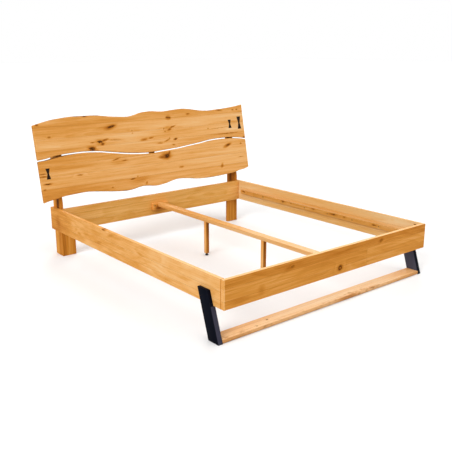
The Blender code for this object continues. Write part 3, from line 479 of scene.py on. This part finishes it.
def live_edge(across, edge, width, outwards, seed):
    """Points of one live edge from the front face to the back: depth, rise and amount of wane."""
    points = []
    amount = min(1, width / FULL_BARK_WIDTH)
    for step in range(WANE_STEPS + 1):
        turned = step / WANE_STEPS * math.pi / 2
        depth = WANE_DEPTH * (1 - math.cos(turned))
        points.append((depth, edge - outwards * width * (1 - math.sin(turned)), amount * min(1, step / 2)))
    for depth, drop in BACK_EDGE:
        points.append((depth, edge - outwards * drop, 0.35 + 0.5 * amount))
    points.append((PLANK, edge - outwards * BACK_RETURN, 0))
    shaped = []
    for index, (depth, rise, wane) in enumerate(points):
        rough = noise.noise(Vector((across * 24, depth * 90, seed))) * 0.6
        rough += noise.noise(Vector((across * 75, depth * 300, seed + 5))) * 0.4
        inset = EDGE_ROUGHNESS * (1 + rough) * min(1, index / 3)
        shaped.append((depth, rise - outwards * inset, wane))
    return shaped


def skinned(name, rings, layer=None):
    """Skin a row of rings of points and close both ends; a point may carry a fourth value for a layer."""
    shape = bmesh.new()
    store = shape.verts.layers.float.new(layer) if layer else None
    rows = []
    for ring in rings:
        rows.append([shape.verts.new(point[:3]) for point in ring])
        for vertex, point in zip(rows[-1], ring):
            if layer:
                vertex[store] = point[3]
    count = len(rows[0])
    for first, second in zip(rows, rows[1:]):
        for index in range(count):
            after = (index + 1) % count
            shape.faces.new((first[index], first[after], second[after], second[index]))
    shape.faces.new(reversed(rows[0]))
    shape.faces.new(rows[-1])
    bmesh.ops.recalc_face_normals(shape, faces=shape.faces)
    mesh = bpy.data.meshes.new(name)
    shape.to_mesh(mesh)
    shape.free()
    return mesh


def new_piece(name, mesh, material=None):
    """Put a mesh in the scene as an object at the origin."""
    piece = bpy.data.objects.new(name, mesh)
    bpy.context.scene.collection.objects.link(piece)
    if material:
        mesh.materials.clear()
        mesh.materials.append(material)
    return piece


def settle(piece, sharp=40):
    """Make the modifiers' result the piece's own mesh, and smooth all but its sharp edges."""
    bpy.context.view_layer.update()
    graph = bpy.context.evaluated_depsgraph_get()
    mesh = bpy.data.meshes.new_from_object(
        piece.evaluated_get(graph), preserve_all_data_layers=True, depsgraph=graph)
    mesh.name = piece.name
    piece.modifiers.clear()
    piece.data = mesh
    mesh.shade_smooth()
    mesh.set_sharp_from_angle(angle=math.radians(sharp))
    return piece


def cut_away(piece, cutters):
    """Cut each mesh out of a piece, one after the other."""
    guides = []
    for index, cutter in enumerate(cutters):
        guide = new_piece(f"{piece.name}_cutter_{index}", cutter)
        cutting = piece.modifiers.new(guide.name, "BOOLEAN")
        cutting.solver = "EXACT"
        cutting.object = guide
        guides.append(guide)
    settle(piece)
    for guide in guides:
        bpy.data.objects.remove(guide)


def welded(node):
    """A copy of a CAD node's mesh with its loose triangles joined."""
    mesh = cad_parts[node].data.copy()
    shape = bmesh.new()
    shape.from_mesh(mesh)
    bmesh.ops.remove_doubles(shape, verts=shape.verts, dist=WELD_DISTANCE)
    bmesh.ops.dissolve_limit(shape, angle_limit=math.radians(1), verts=shape.verts, edges=shape.edges)
    shape.to_mesh(mesh)
    shape.free()
    return mesh


def crack_mesh(name, crack, seed):
    """A thin wedge along a wandering line, deepest at the plank's end."""
    begin, low, finish, high, width = crack
    rings = []
    for step in range(CRACK_STEPS + 1):
        share = step / CRACK_STEPS
        across = begin + (finish - begin) * share
        rise = low + (high - low) * share + CRACK_WANDER * noise.noise(Vector((across * 17, seed, 0)))
        ragged = 1 + 0.3 * noise.noise(Vector((across * 60, seed, 3)))
        half = max(0.00012, width / 2 * (1 - share) ** 0.7 * ragged)
        depth = max(0.001, CRACK_DEPTH * (1 - share))
        rings.append([
            (across, -OVERCUT, rise - half), (across, -OVERCUT, rise + half), (across, depth, rise)])
    return skinned(name, rings)


def pit_mesh(name, knot):
    """A shallow oval bowl where a knot has dried back."""
    along, over, radius, stretch, tilt = knot
    shape = bmesh.new()
    bmesh.ops.create_uvsphere(shape, u_segments=20, v_segments=10, radius=1)
    bmesh.ops.scale(
        shape, vec=(radius * stretch * PIT_SHARE, PIT_DEPTH, radius * PIT_SHARE), verts=shape.verts)
    bmesh.ops.rotate(shape, matrix=Matrix.Rotation(-math.radians(tilt), 3, "Y"), verts=shape.verts)
    bmesh.ops.translate(shape, vec=(along, -PIT_FORWARD, over), verts=shape.verts)
    mesh = bpy.data.meshes.new(name)
    shape.to_mesh(mesh)
    shape.free()
    return mesh


stations = [2 * step / PLANK_STATIONS - 1 for step in range(1, PLANK_STATIONS)]
planks = (
    ("upper", 41, seam, upper_top, TOP_WANE, UPPER_LAMELLAS, UPPER_KNOTS, UPPER_STAINS, UPPER_TINTS),
    ("lower", 52, lower_bottom, lower_top, SEAM_WANE, LOWER_LAMELLAS, LOWER_KNOTS, LOWER_STAINS, LOWER_TINTS))
for level, seed, bottom, top, top_wane, lamellas_and_painted_light, knots, stains_and_painted_shadows, tints_and_painted_shadows in planks:
    name = "headboard_plank_" + level
    rings = []
    for share in [-1, -1 + END_ARRIS] + stations + [1 - END_ARRIS, 1]:
        across = share * HEADBOARD_HALF
        trim = END_ARRIS if abs(share) == 1 else 0
        low, high = bottom(share) + trim, top(share) - trim
        under = live_edge(across, low, WANE * smooth_through(UNDER_WANE, share), -1, seed)
        over = live_edge(across, high, WANE * smooth_through(top_wane, share), 1, seed + 9)
        ring = []
        for depth, rise, wane in under[::-1] + over:
            depth = min(PLANK - trim, max(trim, depth))
            ring.append((*(LEANING @ Vector((across, depth, rise))), wane))
        rings.append(ring)
    wood = oiled_wood(
        name + "_wood", X, UP_SLOPE, origin=LEANING.translation, seed=seed, tone=0.62, lamellas_and_painted_light=lamellas_and_painted_light,
        fades=((-0.25, -0.85, -0.10),), knots=knots, stains_and_painted_shadows=stains_and_painted_shadows, tints_and_painted_shadows=tints_and_painted_shadows, bark=BARK, figure=0.9)
    plank = new_piece("plank_" + level, skinned(name, rings, "wane"), wood)
    pockets = []
    for key in KEYS[level]:
        pocket = welded(key)
        pocket.transform(LEANING.inverted())
        middle = sum((vertex.co for vertex in pocket.vertices), Vector()) / len(pocket.vertices)
        pocket.transform(Matrix.Translation(-middle))
        pocket.transform(Matrix.Diagonal(POCKET_ROOM))
        pocket.transform(LEANING @ Matrix.Translation(middle - Vector((0, POCKET_FORWARD, 0))))
        pockets.append(pocket)
    for index, crack in enumerate(CRACKS[level]):
        cutter = crack_mesh(f"crack_{index}", crack, seed + index)
        cutter.transform(LEANING)
        pockets.append(cutter)
    for knot in knots[:OPEN_KNOTS]:
        cutter = pit_mesh("pit", knot)
        cutter.transform(LEANING)
        pockets.append(cutter)
    cut_away(plank, pockets)
    facing = LEANING.to_3x3() @ Vector(Y)
    for face in plank.data.polygons:
        face.use_smooth = abs(face.normal.dot(facing)) < FLAT_FACE
    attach(plank, "bed_frame")
    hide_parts(name)

# Battens behind the planks
# Three upright strips of plain wood hold the two planks at their distance; the outer ones are
# bolted to the uprights.
for side, seed in (("left", 61), ("center", 62), ("right", 63)):
    finish_node("batten_" + side, oiled_wood(
        f"batten_{side}_wood", UP_SLOPE, X, origin=LEANING.translation, seed=seed, tone=0.26))

# Butterfly keys
# Bow ties of black-stained wood, with a sanded arris all round. They are let in flush across the end
# cracks, two in the upper plank and one in the lower.
KEY_ARRIS = 0.0006
SHARP_EDGE = math.radians(35)
STAINED_SHINE = 0.08
stained = bpy.data.materials.new("black_stained_wood")
stained.use_nodes = True
skin = stained.node_tree.nodes["Principled BSDF"]
start = Shade(stained.node_tree)
place = start.node("ShaderNodeTexCoord", output="Object")
streaks = place.blotches((320, 320, 14), 3)
streaks.step(0.3, 0.75).mixed((0.008, 0.004, 0.002), (0.034, 0.015, 0.008)).into(skin, "Base Color")
(streaks * 0.2 + 0.35).into(skin, "Roughness")
skin.inputs["Specular IOR Level"].default_value = STAINED_SHINE
streaks.node("ShaderNodeBump", None, {
    "Strength": 0.3, "Distance": 0.0004, "Height": streaks}).into(skin, "Normal")


def softened(name, node, width, segments, material):
    """Stand a copy with rounded edges in for a CAD node of the frame."""
    piece = new_piece(name, welded(node), material)
    rounding = piece.modifiers.new("rounding", "BEVEL")
    rounding.width = width
    rounding.segments = segments
    rounding.limit_method = "ANGLE"
    rounding.angle_limit = SHARP_EDGE
    settle(piece)
    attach(piece, "bed_frame")
    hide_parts(node)


for node in KEYS["lower"] + KEYS["upper"]:
    softened("inlaid_" + node, node, KEY_ARRIS, 2, stained)

# Slat ledgers
# Plain strips of knotty wood that the slats would rest on, screwed to the inner faces of the side rails
# a hand's breadth below their tops. Their narrow upper faces are painted paler: a painted highlight.
LEDGER_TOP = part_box("ledger_right")[1].z
LEDGER_ARRIS = 0.0012
for side, seed in (("left", 71), ("right", 72)):
    finish_node("ledger_" + side, oiled_wood(
        f"ledger_{side}_wood", Y, Z, seed=seed, tone=0.56,
        lamellas_and_painted_light=((-9, -0.04), (LEDGER_TOP - LEDGER_ARRIS, 0.22)),
        knots=((-0.284, 0.303, 0.0030, 1.6, 0), (-0.679, 0.299, 0.0032, 1.6, 0),
               (0.568, 0.303, 0.0028, 1.3, 0), (0.208, 0.304, 0.0028, 1.5, 0)), knot_tones=SOFT_KNOT_TONES,
        stains_and_painted_shadows=((0.308, 0.305, 0.006, 3.0, 0), (-0.052, 0.304, 0.005, 3.0, 0),
                (-0.270, 0.301, 0.006, 6.0, 0), (-0.390, 0.302, 0.005, 2.0, 0),
                (-0.690, 0.299, 0.006, 3.0, 0), (0.840, 0.303, 0.006, 3.0, 0)),
        figure=0.7, oil=(0.502, 1, 0.80)))

# Middle beam, brackets and legs
# A flat beam lies in notched brackets, screwed to the head rail and the foot board, and stands on two
# square legs. All are sanded and oiled like the boards.
# The beam grows paler towards its foot end: painted sheen.
finish_node("center_beam", oiled_wood(
    "center_beam_wood", Y, X, seed=81, tone=0.60, fades=((0.60, -0.50, 0.20), (-0.60, -0.95, 0.12)),
    oil=(0.5, 1, 0.87)))
for end, seed in (("head", 82), ("foot", 83)):
    # Each bracket's stained spot on its face below the beam is painted shadow of the beam.
    finish_node("beam_bracket_" + end, oiled_wood(
        f"beam_bracket_{end}_wood", X, Z, seed=seed, tone=0.57, stains_and_painted_shadows=((-0.025, 0.274, 0.018, 1.8, -20),)))
    # Each middle leg's left face is painted lighter than its other faces, and the leg darkens towards its
    # top: painted light, and painted shadow of the beam.
    finish_node("center_leg_" + end, oiled_wood(
        f"center_leg_{end}_wood", Z, X, seed=seed + 2, tone=0.42, lamellas_and_painted_light=((-9, 0.26), (-0.0135, -0.18)),
        fades=((0.10, 0.25, -0.10),)))

# Glides
# Black moulded feet on threaded steel stems, turned as one. Each screws into a plated insert under its
# middle leg, which a plated stud joins to the beam.
PAD_TOP = 0.0190
PAD_SIDES = 40
PAD_PROFILE = (
    (0.0100, 0.0), (0.0118, 0.0004), (0.0130, 0.0022), (0.0130, 0.0052), (0.0124, 0.0066),
    (0.0102, 0.0074), (0.0092, 0.0086), (0.0088, 0.0180), (0.0080, PAD_TOP), (0.0060, PAD_TOP))
STEM_TOP = 0.055
STEM_TIP = 0.0030
STEM_IN_PAD = 0.003
STEM_SIDES = 16
THREAD_ROOT = 0.0032
THREAD_CREST = 0.0040
THREAD_TURNS = 28
THREAD_PITCH = 0.00125
THREAD_FLANK = 0.0004
THREAD_FLAT = 0.0002
RAIL_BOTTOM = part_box("side_rail_left")[0].z


def plain_finish(name, dark, light, roughness, metallic, grain, depth, lit=None):
    """A moulded, coated or plated finish.

    Lit, if given, is a way and a tone: the faces below the rails that look that way take the tone, as painted
    light.
    """
    material = bpy.data.materials.new(name)
    material.use_nodes = True
    skin = material.node_tree.nodes["Principled BSDF"]
    start = Shade(material.node_tree)
    place = start.node("ShaderNodeTexCoord", output="Object")
    mottling = place.blotches((grain, grain, grain), 3)
    wear = place.blotches((grain / 40, grain / 40, grain / 40), 3)
    colour = (mottling * 0.5 + wear * 0.5).step(0.3, 0.7).mixed(dark, light)
    if lit:
        normal = start.node("ShaderNodeNewGeometry", output="Normal")
        facing = normal.vectors("DOT_PRODUCT", lit[0], output=1)
        under = place.part(2).step(RAIL_BOTTOM + 0.003, RAIL_BOTTOM - 0.003)
        colour = (facing.step(0.6, 0.9) * under).mixed(colour, lit[1])
    colour.into(skin, "Base Color")
    (mottling * 0.08 + wear * 0.12 + roughness - 0.1).into(skin, "Roughness")
    skin.inputs["Metallic"].default_value = metallic
    mottling.node("ShaderNodeBump", None, {"Strength": 0.35, "Distance": depth, "Height": mottling}).into(
        skin, "Normal")
    return material


moulded = plain_finish(
    "black_moulding", (0.010, 0.010, 0.010), (0.020, 0.020, 0.021), 0.55, 0.0, 1500, 0.0003)
zinc = plain_finish("zinc_plating", (0.42, 0.42, 0.43), (0.62, 0.62, 0.60), 0.34, 0.95, 900, 0.0001)


def turned(name, profile, middle, sides, material):
    """Turn a profile of radius and height round an upright axis."""
    rings = [
        [(middle.x + radius * math.cos(turn), middle.y + radius * math.sin(turn), height)
         for turn in (math.tau * side / sides for side in range(sides))]
        for radius, height in profile]
    return settle(new_piece(name, skinned(name, rings), material), sharp=30)


stem_profile = [(THREAD_ROOT, PAD_TOP - STEM_IN_PAD)]
for turn in range(THREAD_TURNS):
    begin = PAD_TOP + THREAD_FLANK + turn * THREAD_PITCH
    rise = begin + THREAD_FLANK
    fall = rise + THREAD_FLAT
    stem_profile += [
        (THREAD_ROOT, begin), (THREAD_CREST, rise), (THREAD_CREST, fall), (THREAD_ROOT, fall + THREAD_FLANK)]
stem_profile.append((STEM_TIP, STEM_TOP))
for end in ("head", "foot"):
    low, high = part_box("glide_" + end)
    middle = (low + high) / 2
    foot = turned("glide_pad_" + end, PAD_PROFILE, middle, PAD_SIDES, moulded)
    rod = turned("glide_stem_" + end, stem_profile, middle, STEM_SIDES, zinc)
    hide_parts("glide_" + end)
    for piece, slot in ((foot, "black_plastic"), (rod, "zinc_hardware")):
        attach(piece, "glide_" + end)
    finish_node("glide_insert_" + end, zinc)
    finish_node("beam_stud_" + end, zinc)

# Steel foot legs and their plugs
# Raked rectangular tubes, stepped where they lie against the rails, welded shut on top and coated
# matt black; a plastic plug closes each lower end.
STEEL_ARRIS = 0.0016
PLUG_ARRIS = 0.0006
COAT_SHINE = 0.04
# Each leg has its own copy of the coat: below the rails, the left leg's front faces and the right leg's inner
# faces are painted lighter. This is painted light.
LIT_FACES = {"left": ((0, -1, 0), (0.050, 0.048, 0.072)), "right": ((-1, 0, 0), (0.068, 0.070, 0.100))}
for side, lit in LIT_FACES.items():
    coated = plain_finish(
        f"black_coat_{side}", (0.001, 0.002, 0.006), (0.003, 0.004, 0.010), 0.50, 0.0, 700, 0.0004, lit)
    coated.node_tree.nodes["Principled BSDF"].inputs["Specular IOR Level"].default_value = COAT_SHINE
    softened("steel_leg_" + side, "foot_leg_" + side, STEEL_ARRIS, 3, coated)
    softened("plug_" + side, "foot_leg_plug_" + side, PLUG_ARRIS, 2, moulded)

# Crossbar
# A bar of the boards' wood with one waney edge. It joins the steel legs just above the floor, let over
# their tabs and screwed to them from below.
CROSSBAR_STATIONS = 240
CROSSBAR_WANE = 0.007
CROSSBAR_WANE_STEPS = 8
CROSSBAR_WANE_SHARES = (
    (-1, 0.50), (-0.55, 0.35), (-0.10, 0.30), (0.25, 0.55), (0.60, 0.35), (1, 0.35))
CROSSBAR_BARK = ((0.420, 0.150, 0.026), (0.740, 0.330, 0.070))
CROSSBAR_BARK_WIDTH = 0.005
CROSSBAR_MOST_BARK = 0.75
CROSSBAR_ROUGHNESS = 0.0008
CROSSBAR_ARRIS = 0.0012
CROSSBAR_UNDERSIDE = ((0.003, 0.0, 0.2), (0.001, 0.002, 0.4))
TAB_ACROSS = 0.8945
TAB_FORWARD = 0.003
RECESS_SIZE = (0.0560, 0.0506, 0.0050, 1)
RECESS_RISE = 0.0008
low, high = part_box("crossbar")
rings = []
for step in range(CROSSBAR_STATIONS + 1):
    share = 2 * step / CROSSBAR_STATIONS - 1
    across = share * high.x
    wane = CROSSBAR_WANE * smooth_through(CROSSBAR_WANE_SHARES, share)
    bark = CROSSBAR_MOST_BARK * min(1, wane / CROSSBAR_BARK_WIDTH)
    ring = []
    for turn in range(CROSSBAR_WANE_STEPS + 1):
        angle = turn / CROSSBAR_WANE_STEPS * math.pi / 2
        rough = CROSSBAR_ROUGHNESS * (1 + noise.noise(Vector((across * 40, turn * 0.5, 7))))
        front = low.y + rough + wane * (1 - math.cos(angle))
        ring.append((across, front, high.z - wane * (1 - math.sin(angle)), bark))
    ring += [
        (across, high.y - CROSSBAR_ARRIS, high.z, 0), (across, high.y, high.z - CROSSBAR_ARRIS, 0),
        (across, high.y, low.z + CROSSBAR_ARRIS, 0), (across, high.y - CROSSBAR_ARRIS, low.z, 0)]
    ring += [(across, low.y + depth, low.z + rise, amount) for depth, rise, amount in CROSSBAR_UNDERSIDE]
    rings.append(ring)
# The bar is painted paler in its middle and darker towards both ends: painted sheen.
bar_wood = oiled_wood(
    "crossbar_wood", X, Y, seed=91, tone=0.84,
    lamellas_and_painted_light=((-9, -0.08), (-1.0745, 0.06), (-1.052, 0.08), (-1.012, 0.02)),
    fades=((0.50, 0.90, -0.28), (0.05, -0.35, -0.08), (-0.40, -0.90, -0.14)), oil=(0.5, 0.91, 0.95),
    knots=((-0.535, -1.023, 0.0045, 1.4, 0), (-0.645, -1.056, 0.003, 1.5, 0)),
    stains_and_painted_shadows=((0.14, -1.077, 0.006, 12.0, 0),), bark=CROSSBAR_BARK, figure=0.8)
bar = new_piece("bar", skinned("bar", rings, "wane"), bar_wood)
recesses = []
for side in (-1, 1):
    recess = bpy.data.meshes.new("recess")
    middle = (side * TAB_ACROSS, (low.y + high.y) / 2 - TAB_FORWARD, low.z + RECESS_RISE)
    shape = bmesh.new()
    bmesh.ops.create_cube(
        shape, size=1, matrix=Matrix.Translation(middle) @ Matrix.Diagonal(RECESS_SIZE))
    shape.to_mesh(recess)
    shape.free()
    recesses.append(recess)
cut_away(bar, recesses)
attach(bar, "bed_frame")
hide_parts("crossbar")

# Corner angles
# Bent, zinc-plated steel angles, each with one bolt through the side rail and one through the foot
# board, stiffen the two foot corners below the ledgers.
ANGLE_ARRIS = 0.0007
for side in ("left", "right"):
    softened("angle_" + side, "corner_angle_" + side, ANGLE_ARRIS, 2, zinc)

# Bolts
# Zinc-plated flange bolts with hexagon sockets join the boards, the headboard, the steel legs and the
# corner angles. One tree sets them all, each where the solid bolt has its head.
BOARD_BOLT = 0.043
LEG_BOLT = 0.037
ANGLE_BOLT = 0.018
BOLT_SIZES = {
    "Head Low": 0.0019, "Head Bottom": 0.0075, "Head Top": 0.0052, "Head Height": 0.0040,
    "Flange": 0.0100, "Flange Low": 0.0003, "Flange Height": 0.0016, "Shank": 0.0040,
    "Socket": 0.0029, "Socket Depth": 0.0026}
HEAD_SIDES = 18
SHANK_SIDES = 10


def fastener_tree(name):
    """A tree that sets one fastener on each point, its head along the point's aim."""
    tree = bpy.data.node_groups.new(name, "GeometryNodeTree")
    tree.interface.new_socket("Geometry", in_out="OUTPUT", socket_type="NodeSocketGeometry")
    tree.interface.new_socket("Geometry", in_out="INPUT", socket_type="NodeSocketGeometry")
    for size in (*BOLT_SIZES, "Length"):
        tree.interface.new_socket(size, in_out="INPUT", socket_type="NodeSocketFloat")
    tree.interface.new_socket("Finish", in_out="INPUT", socket_type="NodeSocketMaterial")
    source = tree.nodes.new("NodeGroupInput")
    given = {socket.name: Shade(tree, socket) for socket in source.outputs if socket.name}
    start = Shade(tree)

    def raised(mesh, height):
        lift = start.node("ShaderNodeCombineXYZ", None, {"Z": height})
        return start.node("GeometryNodeTransform", None, {"Geometry": mesh, "Translation": lift})

    head = raised(start.node("GeometryNodeMeshCone", None, {
        "Vertices": HEAD_SIDES, "Radius Top": given["Head Top"], "Radius Bottom": given["Head Bottom"],
        "Depth": given["Head Height"]}), given["Head Low"])
    top = given["Head Low"] + given["Head Height"]
    socket = raised(start.node("GeometryNodeMeshCylinder", None, {
        "Vertices": 6, "Radius": given["Socket"], "Depth": given["Socket Depth"] * 2}), top)
    head = start.node("GeometryNodeMeshBoolean", {"operation": "DIFFERENCE"}, {
        "Mesh 1": head, "Mesh 2": socket})
    flange = raised(start.node("GeometryNodeMeshCylinder", None, {
        "Vertices": HEAD_SIDES, "Radius": given["Flange"], "Depth": given["Flange Height"]}),
        given["Flange Height"] * 0.5 + given["Flange Low"])
    shank = raised(start.node("GeometryNodeMeshCylinder", None, {
        "Vertices": SHANK_SIDES, "Radius": given["Shank"], "Depth": given["Length"]}),
        given["Head Low"] - given["Length"] * 0.5)
    whole = tree.nodes.new("GeometryNodeJoinGeometry")
    for mesh in (head, flange, shank):
        mesh.into(whole, "Geometry")
    aim = start.node("GeometryNodeInputNamedAttribute", {"data_type": "FLOAT_VECTOR"}, {"Name": "aim"})
    facing = start.node("FunctionNodeAlignRotationToVector", {"axis": "Z"}, {"Vector": aim})
    spread = start.node("GeometryNodeInstanceOnPoints", None, {
        "Points": given["Geometry"], "Instance": Shade(tree, whole.outputs[0]), "Rotation": facing})
    real = start.node("GeometryNodeRealizeInstances", None, {"Geometry": spread})
    finished = start.node("GeometryNodeSetMaterial", None, {"Geometry": real, "Material": given["Finish"]})
    finished.into(tree.nodes.new("NodeGroupOutput"), "Geometry")
    return tree


FASTENERS = fastener_tree("fasteners")


def set_fasteners(name, places, sizes, length, material):
    """Set fasteners at places, each a point and the way its head faces, and make them one mesh."""
    mesh = bpy.data.meshes.new(name)
    mesh.from_pydata([tuple(place) for place, way in places], [], [])
    aims = mesh.attributes.new("aim", "FLOAT_VECTOR", "POINT")
    aims.data.foreach_set("vector", [value for place, way in places for value in way])
    piece = new_piece(name, mesh)
    setting = piece.modifiers.new("setting", "NODES")
    setting.node_group = FASTENERS
    given = {**sizes, "Length": length, "Finish": material}
    for item in FASTENERS.interface.items_tree:
        if item.in_out == "INPUT" and item.name in given:
            setting[item.identifier] = given[item.name]
    settle(piece, sharp=30)
    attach(piece, "bed_frame")
    return piece


def bolt_seat(node, way):
    """Where a CAD bolt's head seats, from its box and the way that the head faces."""
    low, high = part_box(node)
    way = Vector(way)
    middle = (low + high) / 2
    reach = sum(abs(way[axis]) * (high[axis] - low[axis]) / 2 for axis in range(3))
    return middle + way * (reach - BOLT_SIZES["Head Low"] - BOLT_SIZES["Head Height"]), way


bolt_groups = (
    ("side_rail_bolts", BOARD_BOLT, "side_rail_bolt_{}", ("_lower", "_upper"), (-1, 0)),
    ("head_rail_bolts", BOARD_BOLT, "head_rail_bolt_{}", ("_lower", "_upper"), (0, 1)),
    ("headboard_bolts", BOARD_BOLT, "headboard_bolt_{}", ("_lower", "_upper"), (1, 0)),
    ("leg_bolts", LEG_BOLT, "foot_leg_bolt_{}", ("_front", "_back"), (-1, 0)),
    ("angle_bolts_side", ANGLE_BOLT, "corner_bolt_rail_{}", ("",), (-1, 0)),
    ("angle_bolts_foot", ANGLE_BOLT, "corner_bolt_board_{}", ("",), (0, 1)))
for name, length, corner, endings, (outwards, headwards) in bolt_groups:
    seats, replaced = [], []
    for side, sign in (("left", -1), ("right", 1)):
        for ending in endings:
            node = corner.format(side) + ending
            replaced.append(node)
            seats.append(bolt_seat(node, (sign * outwards, headwards, 0)))
    bolts = set_fasteners(name, seats, BOLT_SIZES, length, zinc)
    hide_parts(*replaced)

# Screws
# Countersunk wood screws hold the ledgers, the brackets, the beam's ends, the planks and the tabs.
# The bolts' tree sets those that the CAD model leaves out; the other four are its own.
SCREW_LENGTH = 0.034
SCREW_SIZES = {
    "Head Low": -0.0030, "Head Bottom": 0.0024, "Head Top": 0.0048, "Head Height": 0.0034,
    "Flange": 0.0020, "Flange Low": -0.0060, "Flange Height": 0.0010, "Shank": 0.0023,
    "Socket": 0.0022, "Socket Depth": 0.0018}
LEDGER_SCREWS = 8
LEDGER_FIRST_SCREW = -0.992
LEDGER_SCREW_SPACING = 0.260
BRACKET_SCREWS = ((-0.062, 0.297), (-0.043, 0.272), (0.043, 0.272), (0.062, 0.297))
BATTEN = 0.024
BATTEN_SCREW_RISES = (0.20, 0.33, 0.47, 0.60)
burnished = plain_finish(
    "burnished_steel", (0.06, 0.035, 0.016), (0.12, 0.070, 0.032), 0.42, 0.9, 900, 0.0001)
seats = []
low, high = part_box("ledger_right")
for sign in (-1, 1):
    for step in range(LEDGER_SCREWS):
        along = LEDGER_FIRST_SCREW + LEDGER_SCREW_SPACING * step
        seats.append(((sign * low.x, along, (low.z + high.z) / 2), (-sign, 0, 0)))
set_fasteners("ledger_screws", seats, SCREW_SIZES, SCREW_LENGTH, burnished)
seats = []
for end, facing in (("head", -1), ("foot", 1)):
    low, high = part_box("beam_bracket_" + end)
    face = low.y if facing < 0 else high.y
    for across, height in BRACKET_SCREWS:
        seats.append(((across, face, height), (0, facing, 0)))
set_fasteners("bracket_screws", seats, SCREW_SIZES, SCREW_LENGTH, burnished)
seats = []
for side in ("left", "center", "right"):
    low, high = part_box("batten_" + side)
    for rise in BATTEN_SCREW_RISES:
        back = LEANING @ Vector(((low.x + high.x) / 2, PLANK + GAP + BATTEN, rise))
        seats.append((back, LEANING.to_3x3() @ Vector(Y)))
set_fasteners("batten_screws", seats, SCREW_SIZES, SCREW_LENGTH, zinc)
for node in ("crossbar_screw_left", "crossbar_screw_right", "beam_screw_head", "beam_screw_foot"):
    finish_node(node, zinc)

# Studio
# The camera stands at the photograph's angle, left of the foot. A soft sun comes from the left, with
# weaker ones from above, in front and behind; the floor and the air stay pale.
AIR_LIGHT = 0.32
FLOOR_HALF = 60
camera = bpy.data.objects.new("camera", bpy.data.cameras.new("camera"))
bpy.context.scene.collection.objects.link(camera)
camera.location = (-3.0193, -3.6721, 1.6092)
camera.rotation_euler = (math.radians(74.593), 0, math.radians(-39.257))
camera.data.lens = 51.64
camera.data.sensor_width = 36
bpy.context.scene.camera = camera


def add_sun(name, direction, strength, angle):
    sun = bpy.data.objects.new(name, bpy.data.lights.new(name, "SUN"))
    bpy.context.scene.collection.objects.link(sun)
    sun.rotation_euler = (-Vector(direction)).to_track_quat("-Z", "Y").to_euler()
    sun.data.energy = strength
    sun.data.angle = math.radians(angle)


add_sun("key_sun", (-0.85, -0.25, 0.46), 1.75, 30)
add_sun("top_sun", (0.05, 0.05, 1.00), 1.30, 80)
add_sun("front_fill", (0.20, -0.85, 0.48), 0.70, 40)
add_sun("rim_sun", (0.62, 0.68, 0.38), 0.90, 30)

world = bpy.data.worlds.new("studio_air")
bpy.context.scene.world = world
world.use_nodes = True
air = world.node_tree.nodes["Background"]
start = Shade(world.node_tree)
rays = [start.node("ShaderNodeLightPath", output=ray) for ray in (
    "Is Camera Ray", "Is Glossy Ray", "Is Transmission Ray")]
clear = rays[0].maths("MAXIMUM", rays[1]).maths("MAXIMUM", rays[2])
(clear * (1 - AIR_LIGHT) + AIR_LIGHT).into(air, "Strength")
air.inputs["Color"].default_value = (1, 1, 1, 1)

pale = bpy.data.materials.new("pale_floor")
pale.use_nodes = True
skin = pale.node_tree.nodes["Principled BSDF"]
start = Shade(pale.node_tree)
place = start.node("ShaderNodeTexCoord", output="Object")
seen = start.node("ShaderNodeLightPath", output="Is Camera Ray")
mottled = place.blotches((2, 2, 2), 2).mixed((0.49, 0.49, 0.49), (0.51, 0.51, 0.51))
seen.mixed(mottled, (0.97, 0.97, 0.97)).into(skin, "Base Color")
skin.inputs["Roughness"].default_value = 0.9
skin.inputs["Specular IOR Level"].default_value = 0.1
floor_mesh = bpy.data.meshes.new("floor")
floor_mesh.from_pydata([
    (-FLOOR_HALF, -FLOOR_HALF, 0), (FLOOR_HALF, -FLOOR_HALF, 0), (FLOOR_HALF, FLOOR_HALF, 0),
    (-FLOOR_HALF, FLOOR_HALF, 0)], [], [(0, 1, 2, 3)])
new_piece("floor", floor_mesh, pale)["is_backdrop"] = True

bpy.context.scene.view_settings.view_transform = "Standard"

low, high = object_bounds()
